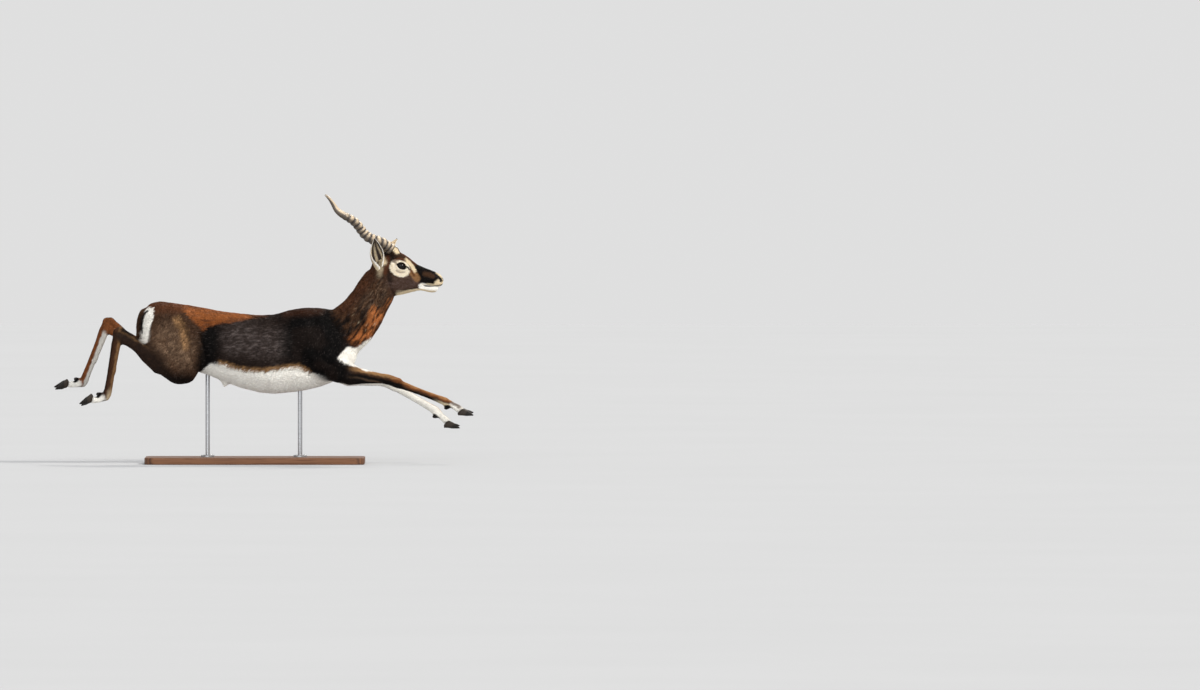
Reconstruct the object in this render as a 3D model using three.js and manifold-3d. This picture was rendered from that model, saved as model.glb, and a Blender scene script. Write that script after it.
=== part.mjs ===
// A male blackbuck in full leap, life size, as a still display model on a plain stand.
// Millimetres, +Z up. The animal faces +X, so its right side is on -Y. The floor is Z = 0.

import * as THREE from "three";
import { mergeVertices } from "three/addons/utils/BufferGeometryUtils.js";
import Module from "manifold-3d";

const wasm = await Module();
wasm.setup();

// Driving sizes
const GAP = 0.3;
const WELD = 0.02;
const RIGHT = -1;
const LEFT = 1;

// Finishes
const FINISH = {
  coat: new THREE.MeshStandardMaterial({ color: 0x2a1c16, roughness: 0.75, metalness: 0 }),
  brownCoat: new THREE.MeshStandardMaterial({ color: 0x5a3418, roughness: 0.75, metalness: 0 }),
  horn: new THREE.MeshStandardMaterial({ color: 0x3b2f26, roughness: 0.5, metalness: 0 }),
  hoof: new THREE.MeshStandardMaterial({ color: 0x14110f, roughness: 0.4, metalness: 0 }),
  eye: new THREE.MeshStandardMaterial({ color: 0x0b0706, roughness: 0.05, metalness: 0 }),
  board: new THREE.MeshStandardMaterial({ color: 0x4a3a2e, roughness: 0.5, metalness: 0 }),
  steel: new THREE.MeshStandardMaterial({ color: 0x9a9da0, roughness: 0.35, metalness: 1 }),
};

// Catmull-Rom value between rows of numbers, at a place counted in rows
function between(rows, place) {
  const last = rows.length - 1;
  const i = Math.min(Math.floor(place), last - 1);
  const f = place - i;
  const at = (k) => rows[Math.max(0, Math.min(last, k))];
  const [a, b, c, d] = [at(i - 1), at(i), at(i + 1), at(i + 2)];
  return b.map((p1, k) => {
    const m1 = (c[k] - a[k]) / 2;
    const m2 = (d[k] - p1) / 2;
    const rise = c[k] - p1;
    return p1 + f * (m1 + f * (3 * rise - 2 * m1 - m2 + f * (m1 + m2 - 2 * rise)));
  });
}

// A closed form through sections. Each row is [x, y, z, side, up, down], the centre and the
// half sizes of its section. upright keeps the sections square to X, and otherwise they turn
// with the path. power squares the section's upper and lower half, and bump(place, angle)
// adds to its radius.
function loft(rows, { sides = 14, steps = 3, grow = 0, upright = false, power = [2, 2], bump } = {}) {
  const count = (rows.length - 1) * steps;
  const centres = [];
  for (let i = 0; i <= count; i++) centres.push(between(rows, i / steps));
  const points = [];
  const ring = (row, along, place) => {
    const side = new THREE.Vector3(0, 1, 0).addScaledVector(along, -along.y).normalize();
    const up = new THREE.Vector3().crossVectors(along, side);
    for (let k = 0; k < sides; k++) {
      const angle = (2 * Math.PI * k) / sides;
      const [c, s] = [Math.cos(angle), Math.sin(angle)];
      const square = 2 / (s >= 0 ? power[0] : power[1]);
      const extra = grow + (bump ? bump(place, (angle * 180) / Math.PI) : 0);
      const across = Math.sign(c) * Math.abs(c) ** square * Math.max(row[3] + extra, 0.4);
      const reach = Math.max((s >= 0 ? row[4] : row[5]) + extra, 0.4);
      const rise = Math.sign(s) * Math.abs(s) ** square * reach;
      points.push(
        new THREE.Vector3(row[0], row[1], row[2]).addScaledVector(side, across).addScaledVector(up, rise),
      );
    }
  };
  const place = (i) => new THREE.Vector3(...centres[i].slice(0, 3));
  for (let i = 0; i <= count; i++) {
    const along = upright
      ? new THREE.Vector3(Math.sign(centres[count][0] - centres[0][0]), 0, 0)
      : place(Math.min(i + 1, count)).sub(place(Math.max(i - 1, 0))).normalize();
    ring(centres[i], along, i / steps);
  }
  const start = place(0).addScaledVector(place(1).sub(place(0)).normalize(), -grow);
  const end = place(count).addScaledVector(place(count).sub(place(count - 1)).normalize(), grow);
  points.push(start, end);
  const index = [];
  const [s, e] = [points.length - 2, points.length - 1];
  for (let i = 0; i < count; i++)
    for (let k = 0; k < sides; k++) {
      const [a, b] = [i * sides + k, i * sides + ((k + 1) % sides)];
      index.push(a, b, a + sides, b, b + sides, a + sides);
    }
  for (let k = 0; k < sides; k++) {
    const next = (k + 1) % sides;
    index.push(s, next, k);
    index.push(e, count * sides + k, count * sides + next);
  }
  return new THREE.BufferGeometry().setFromPoints(points).setIndex(index);
}

// A three.js geometry as a solid that can be joined and cut
function solid(geometry) {
  const plain = geometry.clone();
  for (const name of ["normal", "uv", "color"]) plain.deleteAttribute(name);
  const merged = mergeVertices(plain, 1e-4);
  const made = new wasm.Manifold(
    new wasm.Mesh({
      numProp: 3,
      vertProperties: merged.attributes.position.array,
      triVerts: new Uint32Array(merged.index.array),
    }),
  );
  if (made.volume() > 0) return made;
  const flipped = Uint32Array.from(merged.index.array);
  for (let i = 0; i < flipped.length; i += 3) [flipped[i], flipped[i + 1]] = [flipped[i + 1], flipped[i]];
  return new wasm.Manifold(
    new wasm.Mesh({ numProp: 3, vertProperties: merged.attributes.position.array, triVerts: flipped }),
  );
}

const joined = (solids) => solids.reduce((all, one) => all.add(one));
const without = (whole, cutters) => cutters.reduce((rest, one) => rest.subtract(one), whole);
const largest = (whole) => whole.decompose().reduce((a, b) => (b.volume() > a.volume() ? b : a));

// A ball or egg at a place, with its three half sizes
function egg(centre, half, wide = 12, high = 8) {
  return new THREE.SphereGeometry(1, wide, high).scale(...half).translate(...centre);
}

const group = new THREE.Group();

// Corners closer than WELD become one, and the triangles that this closes up are left out
function addNode(name, whole, finish) {
  const mesh = largest(whole).getMesh();
  const cut = new THREE.BufferGeometry();
  cut.setAttribute("position", new THREE.BufferAttribute(mesh.vertProperties, mesh.numProp));
  cut.setIndex(new THREE.BufferAttribute(mesh.triVerts, 1));
  const geometry = mergeVertices(cut, WELD);
  const corners = Array.from(geometry.index.array);
  const kept = [];
  for (let i = 0; i < corners.length; i += 3) {
    const triangle = corners.slice(i, i + 3);
    if (new Set(triangle).size === 3) kept.push(...triangle);
  }
  geometry.setIndex(kept);
  geometry.computeVertexNormals();
  const node = new THREE.Mesh(geometry, finish);
  node.name = name;
  group.add(node);
}

// Trunk, from the buttocks to the front of the chest
// x, top, widest height, bottom, half width
const TRUNK = [
  [-409, 512, 496, 478, 12],
  [-400, 538, 490, 440, 42],
  [-372, 570, 484, 402, 68],
  [-337, 578, 476, 374, 80],
  [-284, 571, 466, 352, 84],
  [-231, 563, 450, 334, 84],
  [-178, 554, 430, 319, 86],
  [-124, 543, 410, 298, 93],
  [-53, 534, 396, 270, 103],
  [18, 528, 388, 252, 108],
  [71, 531, 388, 248, 107],
  [124, 547, 396, 253, 101],
  [178, 555, 404, 260, 92],
  [231, 554, 408, 273, 83],
  [284, 546, 412, 293, 72],
  [325, 512, 416, 320, 57],
  [352, 462, 418, 352, 38],
  [366, 428, 418, 390, 12],
];
const TRUNK_SECTION = { sides: 32, steps: 1, upright: true, power: [2.15, 2.1] };
const trunkRows = TRUNK.map(([x, top, mid, bottom, half]) => [x, 0, mid, half, top - mid, mid - bottom]);

// Neck: centre x and z, half width, half depth towards the nape and the throat
const NECK = [
  [268, 432, 66, 92, 92],
  [300, 458, 64, 90, 92],
  [348, 496, 58, 84, 86],
  [383, 537, 51, 77, 78],
  [408, 578, 46, 71, 71],
  [434, 620, 43, 70, 68],
  [452, 650, 41, 66, 60],
  [466, 678, 36, 52, 46],
  [474, 696, 22, 24, 26],
];
const neckRows = NECK.map(([x, z, half, nape, throat]) => [x, 0, z, half, nape, throat]);
const NECK_SECTION = { sides: 24, steps: 1 };

// Head, in its own frame: u from the ears to the nose, w up, v to the side
const HEAD = { at: [472, 0, 688], pitch: 15 };
const headFrame = new THREE.Matrix4()
  .makeTranslation(...HEAD.at)
  .multiply(new THREE.Matrix4().makeRotationY((HEAD.pitch * Math.PI) / 180));

// u, top, widest height, bottom, half width
const SKULL = [
  [-60, 20, -12, -50, 16],
  [-50, 38, -10, -66, 32],
  [-25, 60, 0, -80, 43],
  [0, 72, 6, -84.5, 47],
  [24, 72, 6, -85.5, 46],
  [44, 68, 4, -84, 42],
  [64, 61, -2, -75, 37],
  [80, 53, -7, -67, 33.5],
  [96, 46, -8, -57.5, 30.5],
  [115, 43, -5, -47, 27.5],
  [127, 41.5, -2, -30, 25.5],
  [143, 40, 2, -21, 24.5],
  [165, 37, 6, -16.5, 24.5],
  [182, 33, 8, -12, 23],
  [194, 26, 9, -8, 18],
  [201, 18, 8, -2, 10],
];
const JAW = [
  [84, -30, -46, -60, 18],
  [96, -26, -41, -56.5, 23.5],
  [115, -23, -36, -46, 23],
  [131, -20.5, -31.5, -39.5, 21.5],
  [146, -18.5, -29, -38.5, 21],
  [165, -15, -26.5, -38, 20],
  [180, -12.5, -23, -34, 16.5],
  [189, -11.5, -19, -27, 10],
];
const headRows = (table) => table.map(([u, top, mid, bottom, half]) => [u, 0, mid, half, top - mid, mid - bottom]);

const EYE = { u: 43, v: 31.5, w: 26, radius: 18.5, wide: 17.2, high: 12.6 };
const LID = 2.4;
const ORBIT = { at: [41, 23, 23], half: [36, 25.5, 28] };

const NOSTRIL = { u: 187, v: 19.5, w: 20, half: [9.5, 6, 3], dips: 0.5, turns: 0.5 };

function headForm(grow) {
  const section = { steps: 1, upright: true, grow };
  const pieces = [
    loft(headRows(SKULL), { ...section, sides: 24, power: [2.1, 2.3] }),
    loft(headRows(JAW), { ...section, sides: 16, power: [4, 2.2] }),
  ];
  for (const hand of [RIGHT, LEFT]) {
    const lid = EYE.radius + LID + grow;
    pieces.push(egg([EYE.u, hand * EYE.v, EYE.w], [lid, lid, lid], 16, 10));
    pieces.push(egg(ORBIT.at.map((size, k) => (k === 1 ? hand * size : size)), ORBIT.half.map((size) => size + grow)));
  }
  return joined(pieces.map((piece) => solid(piece.applyMatrix4(headFrame))));
}

// What is taken out of the head: the eyes' sockets with their almond openings, and the nostrils
function headHollows() {
  const cuts = [];
  for (const hand of [RIGHT, LEFT]) {
    cuts.push(egg([EYE.u, hand * EYE.v, EYE.w], Array(3).fill(EYE.radius + GAP), 16, 12));
    const almond = new THREE.Shape();
    almond.moveTo(-EYE.wide, 0.5);
    almond.quadraticCurveTo(-EYE.wide * 0.25, EYE.high * 1.95, EYE.wide, -2);
    almond.quadraticCurveTo(0, -EYE.high * 1.95, -EYE.wide, 0.5);
    const slot = new THREE.ExtrudeGeometry(almond, { depth: 30, bevelEnabled: false, curveSegments: 7 });
    slot.rotateX(Math.PI / 2).translate(EYE.u, hand * (EYE.v + 24) + 15, EYE.w);
    cuts.push(slot);
    const nostril = egg([0, 0, 0], NOSTRIL.half, 10, 8);
    nostril.rotateY(NOSTRIL.dips).rotateZ(hand * -NOSTRIL.turns);
    cuts.push(nostril.translate(NOSTRIL.u, hand * NOSTRIL.v, NOSTRIL.w));
  }
  return cuts.map((cut) => solid(cut.applyMatrix4(headFrame)));
}

// An ear is a leaf rolled into a cup: sections that are open on one side
const EAR = { thick: 3, steps: 10, arc: 7 };
function ear({ root, tip, facing }) {
  const start = new THREE.Vector3(...root);
  const axis = new THREE.Vector3(...tip).sub(start);
  const along = axis.clone().normalize();
  const out = new THREE.Vector3(...facing);
  out.addScaledVector(along, -out.dot(along)).normalize();
  const side = new THREE.Vector3().crossVectors(along, out);
  const points = [];
  for (let i = 0; i <= EAR.steps; i++) {
    const t = i / EAR.steps;
    const leaf = Math.sin(Math.PI * Math.min(1, 0.22 + 0.78 * t) ** 1.15);
    const wide = 4 + 24 * Math.max(0, leaf) * (1 - 0.25 * t);
    const half = (Math.PI / 180) * (168 - 82 * Math.min(1, Math.max(0, (t - 0.08) / 0.5)));
    const thick = EAR.thick * (1 - 0.45 * t);
    const centre = start.clone().addScaledVector(axis, t).addScaledVector(out, -7 * Math.sin(Math.PI * t));
    for (const [radius, turn] of [[wide, 1], [wide - thick, -1]])
      for (let k = 0; k <= EAR.arc; k++) {
        const angle = turn * half * ((2 * k) / EAR.arc - 1);
        const squeeze = 0.72;
        points.push(
          centre
            .clone()
            .addScaledVector(side, radius * Math.sin(angle))
            .addScaledVector(out, -radius * squeeze * Math.cos(angle)),
        );
      }
  }
  const ring = 2 * (EAR.arc + 1);
  const index = [];
  for (let i = 0; i < EAR.steps; i++)
    for (let k = 0; k < ring; k++) {
      const [a, b] = [i * ring + k, i * ring + ((k + 1) % ring)];
      index.push(a, b, a + ring, b, b + ring, a + ring);
    }
  for (let k = 0; k < EAR.arc; k++) {
    const [a, b, c, d] = [k, k + 1, ring - 1 - k, ring - 2 - k];
    const top = EAR.steps * ring;
    index.push(a, c, b, b, c, d);
    index.push(top + a, top + b, top + c, top + b, top + d, top + c);
  }
  return solid(new THREE.BufferGeometry().setFromPoints(points).setIndex(index));
}
const EARS = {
  right: { root: [444, -31, 698], tip: [426, -112, 799], facing: [0.3, -1, 0] },
  left: { root: [447, 35, 698], tip: [503, 112, 795], facing: [0.5, 0.5, -0.3] },
};

// A horn winds round its chord, with rings over its lower part
const HORN = {
  pedicle: [
    [507, 19, 731, 12],
    [500, 22, 744, 17],
  ],
  root: [490, 24, 757],
  tip: [248.5, 122, 956],
  bow: -15,
  coil: 6.5,
  turns: 2.2,
  phase: 0.32,
  radii: [[18.5], [17.6], [16.6], [15.6], [14.4], [12.6], [9.6], [5.6], [1.2]],
  rings: 14,
  ringed: 0.8,
  ridge: 1.7,
  sides: 10,
};
function hornPath(hand) {
  const root = new THREE.Vector3(HORN.root[0], hand * HORN.root[1], HORN.root[2]);
  const chord = new THREE.Vector3(HORN.tip[0], hand * HORN.tip[1], HORN.tip[2]).sub(root);
  const across = new THREE.Vector3(-chord.z, 0, chord.x).normalize().negate();
  const aside = new THREE.Vector3(0, hand, 0);
  return (s) => {
    const swell = Math.sin(Math.PI * s);
    const turn = 2 * Math.PI * HORN.turns * (s - HORN.phase) + Math.PI;
    const coil = HORN.coil * Math.min(1, 1.6 * swell);
    return root
      .clone()
      .addScaledVector(chord, s)
      .addScaledVector(across, HORN.bow * swell + coil * Math.cos(turn))
      .addScaledVector(aside, 1.6 * coil * Math.sin(turn));
  };
}
function horn(hand) {
  const path = hornPath(hand);
  const last = HORN.radii.length - 1;
  const rows = [];
  const row = (s, extra) => {
    const radius = between(HORN.radii, Math.min(s * last, last))[0] + extra;
    rows.push([...path(s).toArray(), radius, radius, radius]);
  };
  for (const [x, y, z, radius] of HORN.pedicle) rows.push([x, hand * y, z, radius, radius, radius]);
  for (let i = 0; i < HORN.rings; i++) {
    const s = (HORN.ringed * i) / HORN.rings;
    const step = HORN.ringed / HORN.rings;
    const high = HORN.ridge * (1 - (0.55 * i) / HORN.rings);
    row(s, 0);
    row(s + 0.35 * step, high);
    row(s + 0.75 * step, high * 0.8);
  }
  for (const s of [0.82, 0.88, 0.94, 0.98, 1]) row(s, 0);
  return solid(loft(rows, { sides: HORN.sides, steps: 1 }));
}

// Limbs. Each row is [x, y out from the middle, z, half width, front, back]
const LIMBS = {
  hind_right: {
    hand: RIGHT,
    thigh: [
      [-318, 40, 556, 12, 20, 22],
      [-312, 50, 530, 30, 66, 76],
      [-302, 54, 457, 40, 108, 98],
      [-284, 56, 397, 41, 98, 82],
      [-264, 57, 346, 37, 72, 68],
      [-254, 57, 309, 28, 53, 54],
      [-251, 57, 293, 17, 36, 38],
      [-250, 57, 285, 5, 18, 20],
    ],
    shank: [
      [-262, 57, 342, 22, 34, 34],
      [-292, 57, 357, 33, 54, 48],
      [-337, 57, 380, 31, 56, 44],
      [-383, 58, 404, 26, 42, 32],
      [-415, 59, 422, 18.5, 26, 19],
      [-444, 60, 438, 14, 22.5, 19],
      [-470, 61, 449, 14, 25, 25],
      [-491, 61, 455, 14, 20, 20],
      [-503, 61, 459, 6, 8, 8],
    ],
    cannon: [
      [-487.5, 61, 485, 3, 3, 3],
      [-488.5, 61, 478, 9, 11, 8.5],
      [-490, 61, 454, 13, 19, 14],
      [-492.5, 61, 429, 14.5, 19, 17],
      [-497, 62, 404, 12.5, 17, 15.5],
      [-504, 62, 361, 10.5, 15, 15],
      [-513, 63, 305, 10, 14, 14.5],
      [-519, 63, 269, 11, 14, 15],
      [-524, 63, 248, 14, 15, 16],
      [-529, 63, 233, 12, 12, 12],
      [-531, 63, 225, 4, 4, 4],
    ],
    pastern: [
      [-521, 63, 238, 6, 6, 6],
      [-530, 63, 236, 12, 12, 12],
      [-543, 63, 232, 12.5, 11.5, 11.5],
      [-559, 63, 228, 13, 11, 11],
      [-575, 63, 227, 15.5, 12, 13],
      [-588, 63, 228, 14, 8, 10],
      [-594, 63, 229, 6, 4, 4],
    ],
    foot: { heel: [-583, 63, 250], toe: [-624, 63, 216], back: 20 },
    dew: [-555, 63, 249],
  },
  hind_left: {
    hand: LEFT,
    thigh: [
      [-318, 40, 556, 12, 20, 22],
      [-314, 50, 530, 30, 66, 74],
      [-308, 54, 457, 40, 104, 92],
      [-306, 56, 397, 41, 86, 76],
      [-312, 57, 356, 36, 60, 58],
      [-318, 57, 330, 26, 40, 42],
      [-321, 57, 314, 9, 22, 24],
    ],
    shank: [
      [-312, 57, 346, 22, 34, 32],
      [-334, 57, 362, 33, 46, 44],
      [-373, 57, 388, 29, 40, 38],
      [-415, 58, 422, 21, 27, 25],
      [-462, 60, 454, 15, 20, 19],
      [-497, 61, 471, 14, 22, 29],
      [-517, 62, 480, 14.5, 22, 32],
      [-533, 62, 487, 13, 15, 30],
      [-542, 62, 491, 5, 6, 22],
    ],
    cannon: [
      [-530.5, 62, 518, 3, 3, 3],
      [-532, 62, 511, 9, 10, 8],
      [-536, 62, 489, 13, 20, 13],
      [-543, 63, 464, 14.5, 21, 16],
      [-552, 63, 436, 12.5, 18, 15.5],
      [-570, 64, 390, 10.5, 15.5, 15],
      [-589, 65, 344, 10, 14, 14.5],
      [-602, 65, 312, 11, 14, 15],
      [-609, 66, 291, 14, 15, 16],
      [-614, 66, 278, 12, 12, 12],
      [-616, 66, 271, 4, 4, 4],
    ],
    pastern: [
      [-605, 66, 284, 6, 6, 6],
      [-614, 66, 283, 12, 12, 12],
      [-628, 66, 281, 12.5, 11.5, 11],
      [-645, 66, 280, 13, 11, 11],
      [-661, 66, 281, 15.5, 12, 13],
      [-674, 66, 282, 14, 8, 10],
      [-680, 66, 283, 6, 4, 4],
    ],
    foot: { heel: [-671, 66, 300], toe: [-714, 66, 275], back: 20 },
    dew: [-637, 66, 300],
  },
  fore_right: {
    hand: RIGHT,
    thigh: [
      [168, 34, 534, 8, 12, 12],
      [178, 42, 512, 20, 46, 46],
      [200, 54, 464, 32, 68, 66],
      [236, 58, 412, 37, 74, 74],
      [272, 60, 366, 36, 60, 64],
      [309, 60, 334, 30, 46, 52],
      [340, 60, 317, 25, 32, 36],
      [362, 59, 311, 12, 16, 18],
    ],
    shank: [
      [312, 60, 326, 14, 18, 18],
      [340, 60, 317, 26.5, 35, 35],
      [378, 58, 310, 24, 31, 27],
      [415, 56, 306, 20, 25, 22],
      [451, 54, 302, 16.5, 21, 18],
      [479, 53, 296, 17, 22, 18],
      [504, 52, 286, 16, 18, 17],
      [522, 51, 278, 12, 12, 12],
      [530, 51, 275, 5, 5, 5],
    ],
    cannon: [
      [498, 52, 289, 5, 5, 5],
      [508, 52, 285, 12, 13, 13],
      [527, 51, 277, 13, 14, 14],
      [557, 50, 266, 10.5, 11.5, 12],
      [603, 48, 249, 9.8, 10.5, 12],
      [642, 47, 234, 10.5, 11, 12.5],
      [667, 46, 224, 12.5, 13.5, 14],
      [685, 46, 216.5, 14, 14, 15],
      [698, 46, 211, 11, 11, 11],
      [704, 46, 209, 4, 4, 4],
    ],
    pastern: [
      [680, 46, 219, 5, 5, 5],
      [690, 46, 215, 12, 12, 12],
      [704, 46, 208, 12.5, 12, 12],
      [719, 46, 199, 14, 14, 14],
      [734, 46, 188, 15.5, 14, 13],
      [745, 46, 181, 13, 11, 8],
      [748, 46, 177, 5, 3, 3],
    ],
    foot: { heel: [723, 46, 172], toe: [779, 46, 170.5], back: 20 },
    dew: [679, 46, 199],
  },
  fore_left: {
    hand: LEFT,
    thigh: [
      [166, 34, 530, 8, 12, 12],
      [176, 42, 508, 20, 46, 46],
      [198, 54, 460, 32, 68, 66],
      [234, 58, 408, 37, 74, 74],
      [270, 60, 360, 36, 58, 62],
      [305, 60, 326, 30, 44, 46],
      [334, 59, 309, 25, 31, 33],
      [356, 58, 303, 12, 16, 18],
    ],
    shank: [
      [306, 60, 318, 14, 18, 18],
      [334, 59, 309, 26.5, 33, 33],
      [372, 57, 303, 24, 28, 28],
      [408, 55, 297, 20, 22, 23],
      [442, 53, 291, 16.5, 18, 17],
      [466, 51, 284, 17, 19, 16],
      [488, 50, 275, 16, 18, 15.5],
      [504, 49, 266, 12, 12, 12],
      [511, 49, 262, 5, 5, 5],
    ],
    cannon: [
      [483, 50, 278, 5, 5, 5],
      [492, 50, 273, 12, 13, 13],
      [513, 49, 261, 13, 13, 13],
      [549, 47, 240, 10.5, 11.5, 12],
      [588, 45, 218, 9.8, 11, 12.5],
      [624, 43, 197, 11, 12, 13.5],
      [645, 42, 184, 14, 14.5, 15],
      [657, 42, 175, 11, 11, 11],
      [662, 42, 171, 4, 4, 4],
    ],
    pastern: [
      [641, 42, 186, 5, 5, 5],
      [649, 42, 179, 12, 12, 12],
      [662, 42, 167, 12.5, 12, 12],
      [676, 42, 155, 14, 13, 13.5],
      [689, 42, 143, 15.5, 12, 12],
      [697, 42, 134, 13, 7, 8],
      [700, 42, 131, 5, 3, 3],
    ],
    foot: { heel: [673, 42, 126], toe: [728, 42, 122.5], back: 20 },
    dew: [637, 42, 167],
  },
};
const LIMB_PARTS = ["thigh", "shank", "cannon", "pastern"];
const LIMB_SIDES = { thigh: 16, shank: 12, cannon: 10, pastern: 10 };
const LIMB_STEPS = { thigh: 1, shank: 1, cannon: 1, pastern: 1 };
const LIMB_NAMES = {
  hind: { thigh: "thigh", shank: "shank", cannon: "cannon", pastern: "pastern" },
  fore: { thigh: "shoulder", shank: "forearm", cannon: "cannon", pastern: "pastern" },
};

function limbForm(limb, part, grow) {
  const rows = limb[part].map(([x, out, ...rest]) => [x, limb.hand * out, ...rest]);
  return solid(loft(rows, { sides: LIMB_SIDES[part], steps: LIMB_STEPS[part], grow }));
}

// One claw of a cloven foot, heel at the origin and toe along +X: along, top, half width
const CLAW = [
  [-3, 9, 3],
  [2, 17, 7],
  [11, 24, 8.8],
  [20, 26, 9],
  [32, 18.5, 8],
  [43, 10, 5.8],
  [51, 4.5, 2.8],
  [54, 2.5, 1],
];
const CLAW_APART = 9.6;
const CLAW_SPLAY = 4;
const INNER_CLAW_RAISED = 9;
function claw(limb, inner, grow) {
  const [heel, toe] = [limb.foot.heel, limb.foot.toe].map(([x, out, z]) => new THREE.Vector3(x, limb.hand * out, z));
  const along = toe.clone().sub(heel).normalize();
  // The sole faces the back of the foot, which is upwards on a hind foot thrown back
  const side = new THREE.Vector3(0, 1, 0);
  const up = new THREE.Vector3().crossVectors(along, side).normalize();
  const rows = CLAW.map(([x, top, half]) => [x, 0, top * 0.42, half, top * 0.58, top * 0.42]);
  const shape = loft(rows, { sides: 8, steps: 1, upright: true, grow, power: [2.2, 5] });
  if (inner) shape.rotateY(THREE.MathUtils.degToRad(-INNER_CLAW_RAISED));
  shape.rotateZ(THREE.MathUtils.degToRad((inner ? -1 : 1) * limb.hand * CLAW_SPLAY));
  shape.translate(0, (inner ? -1 : 1) * limb.hand * CLAW_APART, 0);
  shape.applyMatrix4(new THREE.Matrix4().makeBasis(along, side, up).setPosition(heel));
  return solid(shape);
}

function dewClaw(limb, inner) {
  const [x, out, z] = limb.dew;
  const y = limb.hand * out + (inner ? -1 : 1) * limb.hand * 8.5;
  return solid(egg([x, y, z], [8.5, 5.5, 6.5], 8, 6));
}

// Tail, hanging between the buttocks: x, z, half width, half thickness
const TAIL = [
  [-388, 552, 8, 5],
  [-399, 543, 12, 8],
  [-409, 520, 13.5, 8.5],
  [-413, 494, 13, 8.5],
  [-414, 468, 12.5, 8],
  [-415, 448, 11, 7],
  [-420, 437, 7, 4.5],
  [-425, 431, 2, 1.5],
];
const tailForm = (grow) =>
  solid(loft(TAIL.map(([x, z, half, thick]) => [x, 0, z, half, thick, thick]), { sides: 12, steps: 1, grow }));

// The sheath under the belly and the scrotum between the thighs
const SHEATH = [
  [-106, 0, 318, 14, 30, 30],
  [-105, 0, 300, 12, 24, 25],
  [-105, 0, 284, 8, 15, 15],
  [-107, 0, 270, 4, 6, 6],
  [-109, 0, 262, 1.2, 1.6, 1.6],
];

// Build the flesh, from the pieces that keep their whole form to those cut clear of them
const limbs = Object.entries(LIMBS);
const limbCutters = limbs.flatMap(([, limb]) => ["thigh", "shank"].map((part) => limbForm(limb, part, GAP)));
const tailCutter = tailForm(GAP);
const body = joined([
  solid(loft(trunkRows, TRUNK_SECTION)),
  solid(loft(neckRows, NECK_SECTION)),
  solid(loft(SHEATH, { sides: 10, steps: 1 })),
  solid(egg([-347, 0, 352], [24, 21, 34], 12, 10)),
]);

// The neck is parted from the trunk and the head by slanting planes
const NECK_CUT = { at: [322, 0, 478], normal: [0.8, 0, 0.6] };
const HEAD_CUT = { at: [450, 0, 664], normal: [0.86, 0, 0.51] };
function beyond(whole, { at, normal }, shift) {
  const n = new THREE.Vector3(...normal).normalize();
  return whole.trimByPlane(n.toArray(), n.dot(new THREE.Vector3(...at)) + shift);
}
function before(whole, { at, normal }) {
  const n = new THREE.Vector3(...normal).normalize().negate();
  return whole.trimByPlane(n.toArray(), n.dot(new THREE.Vector3(...at)));
}

const neckHead = joined([solid(loft(neckRows, NECK_SECTION)), headForm(0)]);
const head = without(beyond(neckHead, HEAD_CUT, GAP), headHollows());
const neck = without(beyond(before(neckHead, HEAD_CUT), NECK_CUT, GAP), limbCutters);
const torso = without(before(body, NECK_CUT), [...limbCutters, tailCutter]);
const headCutter = joined([headForm(GAP), beyond(solid(loft(neckRows, { ...NECK_SECTION, grow: GAP })), NECK_CUT, 0)]);

addNode("torso", torso, FINISH.coat);
addNode("neck", neck, FINISH.coat);
addNode("head", head, FINISH.coat);
addNode("tail", tailForm(0), FINISH.coat);
for (const [side, hand] of [["right", RIGHT], ["left", LEFT]]) {
  const eyeball = egg([EYE.u, hand * EYE.v, EYE.w], Array(3).fill(EYE.radius), 16, 12);
  addNode(`eye_${side}`, solid(eyeball.applyMatrix4(headFrame)), FINISH.eye);
  addNode(`ear_${side}`, ear(EARS[side]).subtract(headCutter), FINISH.brownCoat);
  addNode(`horn_${side}`, horn(hand).subtract(headCutter), FINISH.horn);
}

for (const [name, limb] of limbs) {
  const names = LIMB_NAMES[name.split("_")[0]];
  const label = (part) => `${name}_${names[part]}`;
  const claws = [false, true].map((inner) => claw(limb, inner, GAP));
  LIMB_PARTS.forEach((part, i) => {
    const cutters = i ? [limbForm(limb, LIMB_PARTS[i - 1], GAP)] : [];
    if (part === "pastern") cutters.push(...claws);
    addNode(label(part), without(limbForm(limb, part, 0), cutters), i < 2 ? FINISH.coat : FINISH.brownCoat);
  });
  for (const inner of [false, true]) {
    const where = inner ? "inner" : "outer";
    addNode(`${name}_hoof_${where}`, claw(limb, inner, 0), FINISH.hoof);
    const shield = ["cannon", "pastern"].map((part) => limbForm(limb, part, GAP));
    addNode(`${name}_dewclaw_${where}`, without(dewClaw(limb, inner), shield), FINISH.hoof);
  }
}

// The stand: a flat board and two rods up to the breastbone and the belly
const BOARD = { length: 780, width: 340, thick: 24, corner: 40, bevel: 3 };
const RODS = { front: 160, rear: -168 };
const ROD_RADIUS = 8;
const COLLAR = { radius: 24, height: 7 };
const outline = new THREE.Shape();
const [hx, hy, hc] = [BOARD.length / 2 - BOARD.bevel, BOARD.width / 2 - BOARD.bevel, BOARD.corner];
outline.moveTo(-hx + hc, -hy);
outline.lineTo(hx - hc, -hy).absarc(hx - hc, -hy + hc, hc, -Math.PI / 2, 0);
outline.lineTo(hx, hy - hc).absarc(hx - hc, hy - hc, hc, 0, Math.PI / 2);
outline.lineTo(-hx + hc, hy).absarc(-hx + hc, hy - hc, hc, Math.PI / 2, Math.PI);
outline.lineTo(-hx, -hy + hc).absarc(-hx + hc, -hy + hc, hc, Math.PI, 1.5 * Math.PI);
const board = new THREE.ExtrudeGeometry(outline, {
  depth: BOARD.thick - 2 * BOARD.bevel,
  bevelThickness: BOARD.bevel,
  bevelSize: BOARD.bevel,
  bevelSegments: 1,
  curveSegments: 5,
});
board.translate(0, 0, BOARD.bevel);
addNode("stand_board", solid(board), FINISH.board);

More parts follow.
